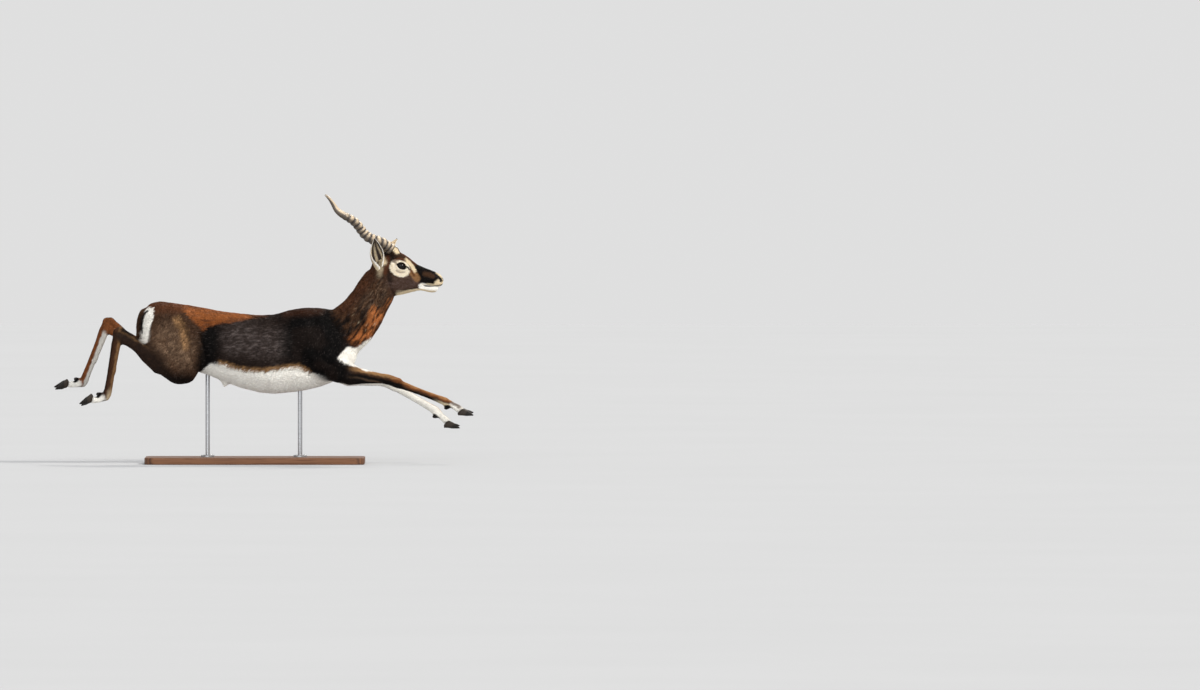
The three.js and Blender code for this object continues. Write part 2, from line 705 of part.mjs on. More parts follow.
function upright(radius, x, low, high, round) {
  return new THREE.CylinderGeometry(radius, radius, high - low, round)
    .rotateX(Math.PI / 2)
    .translate(x, 0, (low + high) / 2);
}
const bodyCutter = solid(loft(trunkRows, { ...TRUNK_SECTION, grow: GAP }));
for (const [place, x] of Object.entries(RODS)) {
  const collarTop = BOARD.thick + GAP + COLLAR.height;
  addNode(`stand_collar_${place}`, solid(upright(COLLAR.radius, x, BOARD.thick + GAP, collarTop, 24)), FINISH.steel);
  const rod = solid(upright(ROD_RADIUS, x, collarTop + GAP, TRUNK[6][2], 16)).subtract(bodyCutter);
  addNode(`stand_rod_${place}`, rod, FINISH.steel);
}

export default group;
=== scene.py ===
# %% [markdown]
# # A leaping blackbuck on a display stand
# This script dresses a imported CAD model. The model arrives as a fixed frame: every node lies where
# it belongs, in metres, with the floor at Z = 0 and the animal facing +X. We start by loading that
# frame and by keeping the size of its box, because the finished animal may not outgrow it.

# %% Frame
import math

import bmesh
import bpy
import numpy as np
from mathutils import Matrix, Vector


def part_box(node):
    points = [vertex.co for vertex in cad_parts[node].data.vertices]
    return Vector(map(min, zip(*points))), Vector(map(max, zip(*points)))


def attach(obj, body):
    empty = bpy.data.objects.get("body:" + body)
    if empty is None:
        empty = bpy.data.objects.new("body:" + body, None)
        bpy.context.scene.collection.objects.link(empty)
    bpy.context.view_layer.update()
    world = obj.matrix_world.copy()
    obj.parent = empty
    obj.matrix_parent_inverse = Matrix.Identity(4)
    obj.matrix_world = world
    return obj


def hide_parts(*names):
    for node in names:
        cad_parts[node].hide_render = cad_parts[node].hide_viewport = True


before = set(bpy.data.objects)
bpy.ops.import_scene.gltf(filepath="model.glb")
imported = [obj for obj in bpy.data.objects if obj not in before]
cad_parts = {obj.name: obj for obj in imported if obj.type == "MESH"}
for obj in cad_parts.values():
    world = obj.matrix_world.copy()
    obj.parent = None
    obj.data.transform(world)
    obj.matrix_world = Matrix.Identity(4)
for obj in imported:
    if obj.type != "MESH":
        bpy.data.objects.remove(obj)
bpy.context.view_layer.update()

import openvdb as vdb
from mathutils import Vector
from mathutils.kdtree import KDTree

MM = 0.001

# %% [markdown]
# ## Camera
# The photograph was taken from far away with a long lens, from the animal's right side and only a
# little above its feet. A long lens flattens the view, so sizes in it read like a side elevation.
# One photo pixel covers 3.55 mm of the animal, which gives the width of the frame, and the helper
# that turns a place in the photograph into metres serves the whole script.

# %% Camera
PIXEL = 3.55 * MM
PHOTO_WIDTH = 1200
PHOTO_ORIGIN = (255.0, 463.8)
CAMERA_DISTANCE = 80.0
CAMERA_LIFT = math.radians(1.0)
LOOK_AT = Vector((1.2248, 0.0, 0.4217))


def px(*places):
    """Photo pixels as X and Z in metres, one row for each place."""
    return np.array([((a - PHOTO_ORIGIN[0]) * PIXEL, (PHOTO_ORIGIN[1] - b) * PIXEL) for a, b in places])


camera = bpy.data.objects.new("camera", bpy.data.cameras.new("camera"))
bpy.context.collection.objects.link(camera)
camera.data.sensor_width = 36.0
camera.data.lens = 36.0 * CAMERA_DISTANCE / (PHOTO_WIDTH * PIXEL)
camera.data.clip_end = 400.0
camera.location = LOOK_AT + CAMERA_DISTANCE * Vector((0, -math.cos(CAMERA_LIFT), math.sin(CAMERA_LIFT)))
camera.rotation_euler = (math.pi / 2 - CAMERA_LIFT, 0, 0)
bpy.context.scene.camera = camera
bpy.context.scene.view_settings.view_transform = "Standard"
print("lens", round(camera.data.lens), "mm at", CAMERA_DISTANCE, "m")

# %% [markdown]
# ## Studio
# The sun in the photograph stands high and a little behind the animal. Sun lamps light the whole
# floor evenly, and a wide angle makes them soft. The floor's grey is chosen so that it sends back as
# much light as the world behind it: the two then meet with no line across the picture.

# %% Studio
WORLD_LIGHT = 0.74
SUNS = [
    # name, direction that the light comes from, strength, angle, tint
    ("key", (0.9, -0.6, 0.8), 2.5, 12, (1.0, 0.96, 0.89)),
    ("rim", (0.35, 0.8, 0.9), 1.7, 10, (1.0, 0.95, 0.87)),
    ("fill", (-0.15, -1.0, 0.4), 1.5, 50, (0.96, 0.98, 1.0)),
]
floor_light = np.zeros(3)
for name, source, strength, angle, tint in SUNS:
    sun = bpy.data.objects.new(name, bpy.data.lights.new(name, "SUN"))
    bpy.context.collection.objects.link(sun)
    sun.data.energy = strength
    sun.data.angle = math.radians(angle)
    sun.data.color = tint
    sun.rotation_euler = Vector(source).to_track_quat("Z", "Y").to_euler()
    floor_light += strength * Vector(source).normalized().z / math.pi * np.array(tint)

world = bpy.data.worlds.new("studio")
bpy.context.scene.world = world
world.use_nodes = True
world.node_tree.nodes["Background"].inputs["Color"].default_value = (1.0, 1.0, 1.0, 1)
world.node_tree.nodes["Background"].inputs["Strength"].default_value = WORLD_LIGHT
floor_grey = WORLD_LIGHT / (WORLD_LIGHT + floor_light)
print("floor grey", floor_grey.round(3))

# %% [markdown]
# ## Helpers for meshes
# Big meshes are quickest when whole arrays go into Blender at once, so these helpers turn NumPy
# arrays into meshes and back. Every shown piece rides on the one body of this still model.

# %% Mesh helpers
def floats(values):
    """Any array as one plain row of numbers, as foreach_set wants it."""
    return np.ascontiguousarray(values, np.float32).ravel()


def read_array(collection, prop, width, kind=np.float32):
    """One property of every point, edge or face, one row for each."""
    values = np.empty(len(collection) * width, kind)
    collection.foreach_get(prop, values)
    return values.reshape(-1, width)


def points_of(mesh):
    return read_array(mesh.vertices, "co", 3)


def triangles_of(mesh):
    mesh.calc_loop_triangles()
    return read_array(mesh.loop_triangles, "vertices", 3, np.int32)


def normals_of(mesh):
    return read_array(mesh.vertex_normals, "vector", 3)


def move_points(mesh, points):
    mesh.vertices.foreach_set("co", floats(points))
    mesh.update()


def new_mesh(name, points, faces):
    """A smooth mesh from rows of points and rows of point numbers."""
    mesh = bpy.data.meshes.new(name)
    mesh.vertices.add(len(points))
    mesh.vertices.foreach_set("co", floats(points))
    mesh.loops.add(faces.size)
    mesh.loops.foreach_set("vertex_index", np.ascontiguousarray(faces, np.int32).ravel())
    mesh.polygons.add(len(faces))
    mesh.polygons.foreach_set("loop_start", np.arange(0, faces.size, faces.shape[1], dtype=np.int32))
    mesh.update(calc_edges=True)
    mesh.shade_smooth()
    return mesh


def turn_out(mesh, hole_sides=0):
    """Turns all faces outwards, and first closes open ends of up to so many sides."""
    bm = bmesh.new()
    bm.from_mesh(mesh)
    if hole_sides:
        bmesh.ops.holes_fill(bm, edges=[e for e in bm.edges if e.is_boundary], sides=hole_sides)
    bmesh.ops.recalc_face_normals(bm, faces=bm.faces[:])
    bm.to_mesh(mesh)
    bm.free()


def add_piece(mesh, material, slot, *nodes):
    """Shows a mesh as a piece of the object, in place of the CAD nodes that it stands for."""
    piece = bpy.data.objects.new(mesh.name, mesh)
    bpy.context.collection.objects.link(piece)
    mesh.materials.clear()
    mesh.materials.append(material)
    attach(piece, "root")
    if nodes:
        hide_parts(*nodes)


def set_color(mesh, colors):
    layer = mesh.color_attributes.new("markings", "FLOAT_COLOR", "POINT")
    full = np.ones((len(colors), 4), np.float32)
    full[:, :3] = colors
    layer.data.foreach_set("color", full.ravel())


def set_lie(mesh, vectors):
    layer = mesh.attributes.new("lie", "FLOAT_VECTOR", "POINT")
    layer.data.foreach_set("vector", floats(vectors))


print(len(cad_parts), "CAD nodes")

# %% [markdown]
# ## Colours and noise
# Colours are chosen as they look on screen, but light adds up in linear values, so each is turned
# into those. The noise is worked out from the place alone, so it is the same on every run.

# %% Colours and noise
def srgb(*values):
    """A colour given as it looks on screen, 0 to 255, as linear light."""
    c = np.array(values, dtype=float) / 255
    return np.where(c <= 0.04045, c / 12.92, ((c + 0.055) / 1.055) ** 2.4).astype(np.float32)


def unit(vectors):
    return vectors / np.maximum(np.linalg.norm(vectors, axis=-1, keepdims=True), 1e-9)


def ease(low, high, value):
    """A soft step from 0 to 1 between two values, or from 1 to 0 if they are swapped."""
    t = np.clip((value - low) / (high - low), 0, 1)
    return t * t * (3 - 2 * t)


def ridge(value, middle, width):
    """1 at the middle, falling off like a bell on both sides."""
    return np.exp(-(((value - middle) / width) ** 2))


def mix(first, second, share):
    """Blends two colours, or two rows of them, by a share for each point."""
    return first + (np.asarray(second) - first) * np.asarray(share)[..., None]


def noise(points, size, seed=0):
    """Smooth random values from 0 to 1 that change over about the given size."""
    p = np.asarray(points, np.float64) / size + 31.7 * (seed + 1)
    cell = np.floor(p).astype(np.int64)
    t = p - cell
    t = t * t * (3 - 2 * t)
    total = np.zeros(len(p))
    for corner in range(8):
        step = np.array([corner & 1, corner >> 1 & 1, corner >> 2])
        key = (cell + step) * np.array([73856093, 19349663, 83492791])
        key = (key[:, 0] ^ key[:, 1] ^ key[:, 2]) + seed * 7919
        key = (key ^ (key >> 13)) * 1274126177
        value = ((key ^ (key >> 16)) & 0xFFFF) / 65535
        total += value * np.prod(np.where(step, t, 1 - t), axis=1)
    return total.astype(np.float32)


print("middle grey as linear light", srgb(128, 128, 128).round(3))

# %% [markdown]
# ## One skin from many solids
# The CAD flesh is divided into parts with hairline gaps, but an animal wears one skin. A distance
# field joins them: each part becomes a small block of numbers that say how far each point of space
# is from its surface, and a soft minimum of two such blocks melts the parts together like clay.
# OpenVDB, which comes with Blender, makes the blocks and turns the sum back into a mesh.

# %% Distance fields
BAND = 7


class Field:
    """Distances to the surface on a regular grid that fills a box."""

    def __init__(self, low, high, voxel):
        self.voxel = voxel
        self.low = np.floor(np.array(low) / voxel).astype(int)
        shape = np.ceil(np.array(high) / voxel).astype(int) - self.low
        self.far = BAND * voxel
        self.values = np.full(tuple(shape), self.far, np.float32)

    def block_of(self, node):
        """The block of distances to a CAD node, and where it lies in this field."""
        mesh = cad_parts[node].data
        points = points_of(mesh)
        transform = vdb.createLinearTransform(voxelSize=self.voxel)
        grid = vdb.FloatGrid.createLevelSetFromPolygons(
            points, triangles=triangles_of(mesh), transform=transform, halfWidth=BAND
        )
        start = np.floor(points.min(0) / self.voxel).astype(int) - BAND - self.low
        stop = np.ceil(points.max(0) / self.voxel).astype(int) + BAND - self.low
        start = np.maximum(start, 0)
        stop = np.minimum(stop, self.values.shape)
        if np.any(stop <= start):
            return None
        block = np.empty(tuple(stop - start), np.float32)
        grid.copyToArray(block, ijk=tuple(int(i) for i in start + self.low))
        return block, start

    def rod_block(self, start, end, radii):
        """The block of distances to a rod with round ends that tapers between two radii."""
        start, end = np.array(start), np.array(end)
        spare = max(radii) + self.far
        low = np.floor((np.minimum(start, end) - spare) / self.voxel).astype(int) - self.low
        high = np.ceil((np.maximum(start, end) + spare) / self.voxel).astype(int) - self.low
        low = np.maximum(low, 0)
        high = np.minimum(high, self.values.shape)
        grid = np.stack(np.meshgrid(*(np.arange(a, b) for a, b in zip(low, high)), indexing="ij"), -1)
        offset = (grid + self.low) * self.voxel - start
        axis = end - start
        t = np.clip(offset @ axis / axis.dot(axis), 0, 1)
        distance = np.linalg.norm(offset - t[..., None] * axis, axis=-1)
        distance = distance - radii[0] - (radii[1] - radii[0]) * t
        return np.minimum(distance, self.far).astype(np.float32), low

    def melt(self, block, start, width):
        """Melts a block into the field, rounding the crease between them over about that width."""
        place = tuple(slice(a, a + n) for a, n in zip(start, block.shape))
        view = self.values[place]
        near = block < 0.98 * self.far
        h = np.maximum(width - np.abs(view - block), 0) / width * near
        np.minimum(view, block, out=view)
        view -= h * h * width / 4

    def soften(self, rounds):
        """Averages each value with its neighbours, which rounds off the CAD facets."""
        for _ in range(rounds):
            for axis in range(3):
                v = np.moveaxis(self.values, axis, 0)
                v[1:-1] = (v[:-2] + v[2:]) * 0.25 + v[1:-1] * 0.5

    def coordinates(self):
        """The X, Y and Z of the grid, shaped so that they combine into a block."""
        counts = zip(self.values.shape, self.low)
        x, y, z = (((np.arange(n) + low) * self.voxel).astype(np.float32) for n, low in counts)
        return x[:, None, None], y[None, :, None], z[None, None, :]

    def surface(self):
        """The zero surface as points and four-sided faces."""
        for axis in range(3):
            v = np.moveaxis(self.values, axis, 0)
            v[0] = self.far
            v[-1] = self.far
        grid = vdb.FloatGrid()
        grid.background = self.far
        grid.transform = vdb.createLinearTransform(voxelSize=self.voxel)
        grid.copyFromArray(self.values, ijk=tuple(int(i) for i in self.low), tolerance=0.0)
        points, quads = grid.convertToQuads(isovalue=0.0)
        return points, quads[:, ::-1]


print("distances reach", BAND, "cells from a surface")

# %% [markdown]
# ## Parts and bones
# Each part of the flesh has a width in millimetres over which it melts into what was there before:
# wide at the shoulder, narrow at the feet. The bones later steer the limbs' shapes and colours.

# %% Parts and bones
LIMBS = ("fore_right", "fore_left", "hind_right", "hind_left")
LIMB_PARTS = {
    "fore": ("shoulder", "forearm", "cannon", "pastern"),
    "hind": ("thigh", "shank", "cannon", "pastern"),
}
LIMB_JOINS = (34, 16, 6, 5)
JOINS = {"torso": 2, "neck": 2, "head": 2}
for limb in LIMBS:
    for part, width in zip(LIMB_PARTS[limb[:4]], LIMB_JOINS):
        JOINS[f"{limb}_{part}"] = width
JOINS["tail"] = 4
FLESH = list(JOINS)

# X and Z of hip or shoulder, stifle or elbow, hock or knee, fetlock, and the edge of the hoof
BONES = {
    "hind_right": [(-0.310, 0.480), (-0.262, 0.330), (-0.490, 0.466), (-0.526, 0.238), (-0.592, 0.229)],
    "hind_left": [(-0.312, 0.480), (-0.318, 0.340), (-0.534, 0.495), (-0.612, 0.283), (-0.678, 0.282)],
    "fore_right": [(0.200, 0.480), (0.335, 0.320), (0.512, 0.282), (0.692, 0.214), (0.747, 0.179)],
    "fore_left": [(0.198, 0.476), (0.330, 0.312), (0.495, 0.270), (0.652, 0.178), (0.699, 0.133)],
}
print(len(FLESH), "parts of flesh,", len(BONES), "limbs")

# %% [markdown]
# ## Body
# All parts are melted into one grid, with two small forms as short rods: the mound of skin under
# each dewclaw, and the heel bone with its tendon behind each hock.

# %% Body field
BODY_VOXEL = 3.3 * MM
body = Field((-0.72, -0.125, 0.10), (0.80, 0.125, 0.80), BODY_VOXEL)
blocks = {node: body.block_of(node) for node in FLESH}
for node, width in JOINS.items():
    body.melt(*blocks[node], width * MM)
body.soften(1)
MOUND_RADII = (9 * MM, 8.4 * MM)
MOUND_JOIN = 6 * MM
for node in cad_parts:
    if "dewclaw" in node:
        low, high = (np.array(corner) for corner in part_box(node))
        centre = (low + high) / 2
        limb = node.split("_dewclaw")[0]
        low, high = (np.array(corner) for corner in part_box(f"{limb}_pastern"))
        joint = np.array((BONES[limb][3][0], (low[1] + high[1]) / 2, BONES[limb][3][1]))
        body.melt(*body.rod_block(joint, centre + 0.1 * (joint - centre), MOUND_RADII), MOUND_JOIN)
# places on the photograph, and radii in mm
HEEL_JOIN = 8 * MM
HEELS = {
    "hind_right": ((116.2, 332.0, 10.0), (121.2, 329.3, 10.0), (129.0, 334.4, 8.0), (140.0, 343.5, 7.0)),
    "hind_left": ((105.8, 320.8, 9.5), (111.0, 320.6, 9.5), (121.0, 329.5, 8.0)),
}
for limb, heel in HEELS.items():
    low, high = (np.array(corner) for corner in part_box(f"{limb}_cannon"))
    middle = (low[1] + high[1]) / 2
    for start, end in zip(heel, heel[1:]):
        (x0, z0), (x1, z1) = px(start[:2], end[:2])
        radii = (start[2] * MM, end[2] * MM)
        body.melt(*body.rod_block((x0, middle, z0), (x1, middle, z1), radii), HEEL_JOIN)
body.soften(1)
body_points, body_quads = body.surface()
print("body", body.values.shape, len(body_points), "points", len(body_quads), "faces")

# %% [markdown]
# ## The head, finer
# Lids, lips and nostrils are a few millimetres across, so the head gets a grid of its own that is
# twice as fine. In it we work in the head's own directions: u from the ears to the nose, w up and v
# to the side. The lids are a shell round each eyeball, and an almond is carved out of it, seen from
# where the eye looks: to the side and a little forward and up.

# %% Eye and head sizes
HEAD_AT = (0.472, 0.688)
HEAD_PITCH = math.radians(15)
EYE = np.array((0.0405, 0.0315, 0.0245))
EYE_RADIUS = 18.5 * MM
LID = 2.4 * MM
EYE_LOOKS = unit(np.array((0.26, 1.0, 0.12)))
EYE_ALONG = unit(np.array((0.97, -0.22, -0.15)))
EYE_ALONG = unit(EYE_ALONG - EYE_LOOKS * EYE_ALONG.dot(EYE_LOOKS))
EYE_UP = np.cross(EYE_ALONG, EYE_LOOKS)
ALMOND_WIDE = 17.6 * MM
ALMOND_ABOVE = 12.2 * MM
ALMOND_BELOW = 10.6 * MM
NOSTRIL_LINE = ((437.8, 275.4), (439.8, 276.9), (441.4, 279.0), (442.0, 281.2))
NOSTRIL_SINK = 1.2 * MM
NOSTRIL_RADII = (2.6 * MM, 2.9 * MM)
# the furred stumps that the horns stand on
PEDICLE = ((0.508, 0.019, 0.728), (0.493, 0.0235, 0.753))
PEDICLE_RADII = (15 * MM, 18.6 * MM)


def head_axes(x, z):
    """Side-view places as distances along the head, from the ears to the nose, and up."""
    dx = x - HEAD_AT[0]
    dz = z - HEAD_AT[1]
    u = dx * math.cos(HEAD_PITCH) - dz * math.sin(HEAD_PITCH)
    w = dx * math.sin(HEAD_PITCH) + dz * math.cos(HEAD_PITCH)
    return u, w


def eye_axes(x, y, z):
    """Distances from the eye's middle along its opening, up, and outwards."""
    u, w = head_axes(x, z)
    offset = (u - EYE[0], np.abs(y) - EYE[1], w - EYE[2])
    return tuple(sum(o * a for o, a in zip(offset, axis)) for axis in (EYE_ALONG, EYE_UP, EYE_LOOKS))


def almond(along, up):
    """Below zero inside the opening between the lids, and about the distance from its edge."""
    t = np.clip(along / ALMOND_WIDE, -1, 1)
    arch = (1 - t * t) ** 0.62
    upper = up - ALMOND_ABOVE * arch * (1 - 0.12 * t)
    lower = -up - ALMOND_BELOW * arch * (1 - 0.05 * t)
    return np.maximum(np.maximum(upper, lower), np.abs(along) - ALMOND_WIDE)


def melt_into(field, part, width):
    """The soft minimum of two whole grids of distances."""
    h = np.maximum(width - np.abs(field - part), 0) / width
    return np.minimum(field, part) - h * h * width / 4


print("eye opening", round(2 * ALMOND_WIDE / MM, 1), "mm wide")

# %% [markdown]
# The head's grid holds the neck and shoulders too, so that both meshes have the same form where they
# will meet. The sockets swell, the lids close round them, and the openings and nostrils are cut.

# %% Head field
HEAD_VOXEL = 1.45 * MM
head = Field((0.285, -0.085, 0.44), (0.685, 0.085, 0.80), HEAD_VOXEL)
for node in ("neck", "torso", "fore_right_shoulder", "fore_left_shoulder", "head"):
    found = head.block_of(node)
    if found:
        head.melt(*found, JOINS[node] * MM)
grid = head.coordinates()
along, up, out = eye_axes(*grid)
socket = np.sqrt(along**2 + up**2 + out**2)
head.values = np.minimum(head.values, socket - EYE_RADIUS - 1.2 * MM)
for hand in (-1, 1):
    start, end = (np.array(place) * (1, hand, 1) for place in PEDICLE)
    head.melt(*head.rod_block(start, end, PEDICLE_RADII), 14 * MM)
head.soften(6)
head.values = melt_into(head.values, socket - EYE_RADIUS - LID, 6 * MM)
opening = np.maximum(almond(along, up), EYE_RADIUS - 3.2 * MM - socket)
opening = np.maximum(opening, 3 * MM - out)
head.values = np.maximum(head.values, -opening).astype(np.float32)
# nostrils: a comma on each side of the nose, cut as a chain of short rods
for hand in (-1, 1):
    chain = []
    for x, z in px(*NOSTRIL_LINE):
        i, k = int(round(x / head.voxel)) - head.low[0], int(round(z / head.voxel)) - head.low[2]
        column = head.values[i, :, k]
        half_width = (np.flatnonzero(column < 0).max() + head.low[1]) * head.voxel
        chain.append(np.array((x, hand * (half_width - NOSTRIL_SINK), z)))
    chain.append(chain[-1] + np.array((-3 * MM, -hand * 5 * MM, 1 * MM)))
    for start, end in zip(chain, chain[1:]):
        block, low = head.rod_block(start, end, NOSTRIL_RADII)
        place = tuple(slice(a, a + n) for a, n in zip(low, block.shape))
        head.values[place] = np.maximum(head.values[place], -block)
head.soften(1)
head_points, head_quads = head.surface()
print("head", head.values.shape, len(head_points), "points", len(head_quads), "faces")

# %% [markdown]
# ## Sewing the head to the body
# Both meshes are cut across the neck, by two parallel planes a few millimetres apart. The two rims
# are closed loops with different numbers of points, so they are walked together by their angle
# around the neck, and each step adds one triangle.

# %% Sewing
CUT_AT = Vector((0.383, 0.0, 0.537))
CUT_NORMAL = Vector((0.55, 0.0, 0.835)).normalized()
CUT_GAP = 2.6 * MM


def cut_mesh(points, faces, at, normal):
    """Keeps what lies behind the plane."""
    half = bmesh.new()
    half.from_mesh(new_mesh("half", points, faces))
    bmesh.ops.bisect_plane(
        half, geom=half.verts[:] + half.edges[:] + half.faces[:],
        dist=0.15 * MM, plane_co=at, plane_no=normal, clear_outer=True,
    )
    return half


def rim_of(half):
    """The open rim of a cut mesh, sorted by the angle around the neck."""
    side = Vector((0, 1, 0))
    top = CUT_NORMAL.cross(side)
    rim = [v for v in half.verts if any(e.is_boundary for e in v.link_edges)]
    angles = [math.atan2((v.co - CUT_AT).dot(side), (v.co - CUT_AT).dot(top)) for v in rim]
    order = sorted(range(len(rim)), key=angles.__getitem__)
    return [rim[k] for k in order], [angles[k] for k in order]


print("cut at", CUT_AT, "and", round(CUT_GAP / MM, 1), "mm further")

# %% [markdown]
# The walk always steps on the side whose next point comes first by its angle, so no two triangles
# cross.

# %% One skin
sewn = cut_mesh(body_points, body_quads, CUT_AT, CUT_NORMAL)
upper_half = cut_mesh(head_points, head_quads, CUT_AT + CUT_NORMAL * CUT_GAP, -CUT_NORMAL)
upper_mesh = bpy.data.meshes.new("upper_half")
upper_half.to_mesh(upper_mesh)
low_rim, low_angles = rim_of(sewn)
low_set = set(low_rim)
sewn.from_mesh(upper_mesh)
both_rims, both_angles = rim_of(sewn)
high = [(v, a) for v, a in zip(both_rims, both_angles) if v not in low_set]
high_rim = [v for v, _ in high]
low_angles += [2 * math.pi + low_angles[0]]
high_angles = [a for _, a in high] + [2 * math.pi + high[0][1]]
i = j = 0
while i < len(low_rim) or j < len(high_rim):
    a = low_rim[i % len(low_rim)]
    b = high_rim[j % len(high_rim)]
    if j == len(high_rim) or (i < len(low_rim) and low_angles[i + 1] <= high_angles[j + 1]):
        i += 1
        sewn.faces.new((a, low_rim[i % len(low_rim)], b))
    else:
        j += 1
        sewn.faces.new((a, high_rim[j % len(high_rim)], b))
bmesh.ops.recalc_face_normals(sewn, faces=sewn.faces[:])
print("rims", len(low_rim), len(high_rim), "open edges left", sum(e.is_boundary for e in sewn.edges))
skin = bpy.data.meshes.new("skin")
sewn.to_mesh(skin)
skin.shade_smooth()
print("skin", len(skin.vertices), "points")

# %% [markdown]
# ## Which part is where
# Sculpting, colours and the lie of the coat all depend on the part of the body. The same blocks of
# distances tell how near each point is to every part, and a soft choice between them gives shares
# that add up to one and fade into each other at the joints.

# %% Shares of the parts
def shares_of(points, blend=6 * MM):
    """How much each point belongs to each part of the flesh, one column for each part."""
    distance = np.full((len(points), len(FLESH)), body.far, np.float32)
    cell = np.rint(points / BODY_VOXEL).astype(int) - body.low
    for k, node in enumerate(FLESH):
        block, start = blocks[node]
        local = cell - start
        inside = np.all((local >= 0) & (local < block.shape), axis=1)
        distance[inside, k] = block[tuple(local[inside].T)]
    # the blocks know no distances beyond their band, so far parts must get no share at all
    known = 1 - ease(0.7 * body.far, 0.95 * body.far, distance)
    return known * np.exp(-(distance - distance.min(axis=1, keepdims=True)) / blend)


def share(shares, *names):
    """The summed share of all parts whose name holds one of the given words."""
    columns = [k for k, node in enumerate(FLESH) if any(name in node for name in names)]
    return shares[:, columns].sum(axis=1)


skin_points = points_of(skin)
skin_shares = shares_of(skin_points)
print("points without a share", int((skin_shares.sum(axis=1) < 0.01).sum()))

# %% [markdown]
# ## Smoothing
# A mesh relaxes when each point moves towards the middle of its neighbours. The flat CAD facets of
# the trunk need a strong pull, while the slim legs and the fine face keep their shape with a weak
# one. The same step also spreads the shares of the parts softly over the skin.

# %% Smoothing
def smooth_values(mesh, points, strength, rounds):
    """Moves the values of points towards their neighbours' mean, each by its own strength."""
    ends = read_array(mesh.edges, "vertices", 2, np.int32)
    moving = np.broadcast_to(strength, len(points)) > 0
    ends = ends[moving[ends].any(axis=1)]
    first, second = ends[:, 0], ends[:, 1]
    count = np.maximum(np.bincount(ends.ravel(), minlength=len(points)), 1)
    for _ in range(rounds):
        for axis in range(points.shape[1]):
            value = points[:, axis]
            total = np.bincount(first, value[second], len(points))
            total += np.bincount(second, value[first], len(points))
            points[:, axis] = value + strength * (total / count - value)
    return points


# the filled hollows between two parts lie far from both, and take their shares from around them
hollow = np.clip(1 - skin_shares.sum(axis=1), 0, 1)
skin_shares = smooth_values(skin, skin_shares, hollow, 80)
skin_shares = smooth_values(skin, skin_shares, 0.4, 8)
skin_shares /= np.maximum(skin_shares.sum(axis=1, keepdims=True), 1e-9)
print("parts", {node: round(float(s), 3) for node, s in zip(FLESH, skin_shares.mean(axis=0))})

# %% [markdown]
# Smoothing also thins round forms. The loss is measured along the normals, spread out so that the
# facets don't come back with it, and added again.

# %% Relaxed skin
HEAD_START = 10 * MM
trunk_share = share(skin_shares, "torso", "thigh", "shoulder", "neck")
fine = skin_points @ np.array(CUT_NORMAL) > np.array(CUT_AT) @ np.array(CUT_NORMAL) + HEAD_START
pull = 0.12 + 0.45 * trunk_share + 0.1 * share(skin_shares, "shank", "forearm")
strength = np.where(fine, 0.35 * trunk_share, pull)
facets = skin_points.astype(np.float64)
skin_points = smooth_values(skin, facets.copy(), strength, 24)
move_points(skin, skin_points)
normals = normals_of(skin)
loss = ((facets - skin_points) * normals).sum(axis=1, keepdims=True)
loss = smooth_values(skin, loss, 0.6, 30)
skin_points += normals * loss
move_points(skin, skin_points)
print("given back up to", (loss.max() / MM).round(1), "mm")

# %% [markdown]
# ## Bones to steer by
# A few joints, in metres, give every limb its directions. A place on a limb is then told by how far
# it lies along the bone, and how far in front of it, and this holds for a folded leg as well as for
# a stretched one. The same directions carry the lie of the coat.

# %% Bones and lie
def on_bone(points, start, end):
    """Share of the way along a bone, and metres in front of it, both seen from the side."""
    start, end = np.array(start), np.array(end)
    axis = end - start
    length = np.linalg.norm(axis)
    axis = axis / length
    offset = points[:, [0, 2]] - start
    return offset @ axis / length, offset @ np.array((-axis[1], axis[0]))


LIE = {"torso": (-1, 0, -0.22), "neck": (-0.62, 0, -0.78), "head": (-0.966, 0, 0.18), "tail": (-0.1, 0, -1)}
LIE_OF_LIMB = {"thigh": (-0.62, 0, -0.78), "shoulder": (-0.4, 0, -0.92)}
for limb in LIMBS:
    for number, part in enumerate(LIMB_PARTS[limb[:4]]):
        (x0, z0), (x1, z1) = BONES[limb][number:number + 2]
        LIE[f"{limb}_{part}"] = LIE_OF_LIMB.get(part, (x1 - x0, 0, z1 - z0))
LIE_TABLE = unit(np.array([LIE[node] for node in FLESH], float))


def lie_of(shares, normals):
    """The way that the coat lies, along the surface."""
    flow = shares @ LIE_TABLE
    return unit(flow - normals * (flow * normals).sum(axis=1, keepdims=True))


print("lie on the haunch", LIE_TABLE[FLESH.index("hind_right_thigh")].round(2))

# %% [markdown]
# ## Sculpting
# A sculptor's stroke is a line on the body and a depth: a ridge where it is above zero, a groove
# below. Each stroke here is drawn in the side view, works on the parts that it names, on both sides
# of the trunk, and fades out at its ends.

# %% Strokes
def near_line(points, line, reach):
    """For the points near a side-view line: their numbers, distance, and share along it."""
    low, high = line.min(0) - reach, line.max(0) + reach
    flat = points[:, [0, 2]]
    found = np.flatnonzero(np.all((flat > low) & (flat < high), axis=1))
    flat = flat[found]
    best = np.full(len(found), 1e9)
    along = np.zeros(len(found))
    lengths = np.linalg.norm(np.diff(line, axis=0), axis=1)
    done = 0.0
    for start, end, length in zip(line[:-1], line[1:], lengths):
        t = np.clip((flat - start) @ (end - start) / length**2, 0, 1)
        distance = np.linalg.norm(flat - start - t[:, None] * (end - start), axis=1)
        closer = distance < best
        best[closer] = distance[closer]
        along[closer] = (done + t[closer] * length) / lengths.sum()
        done += length
    return found, best, along


print(len(near_line(skin_points, np.array(BONES["hind_right"][1:3]), 20 * MM)[0]), "points by a shank")

# %% [markdown]
# The strokes follow what the photograph shows: the grooves of the thigh and shoulder, a hint of
# ribs, the long muscle of the neck, the jaw, the lips and the nostrils.

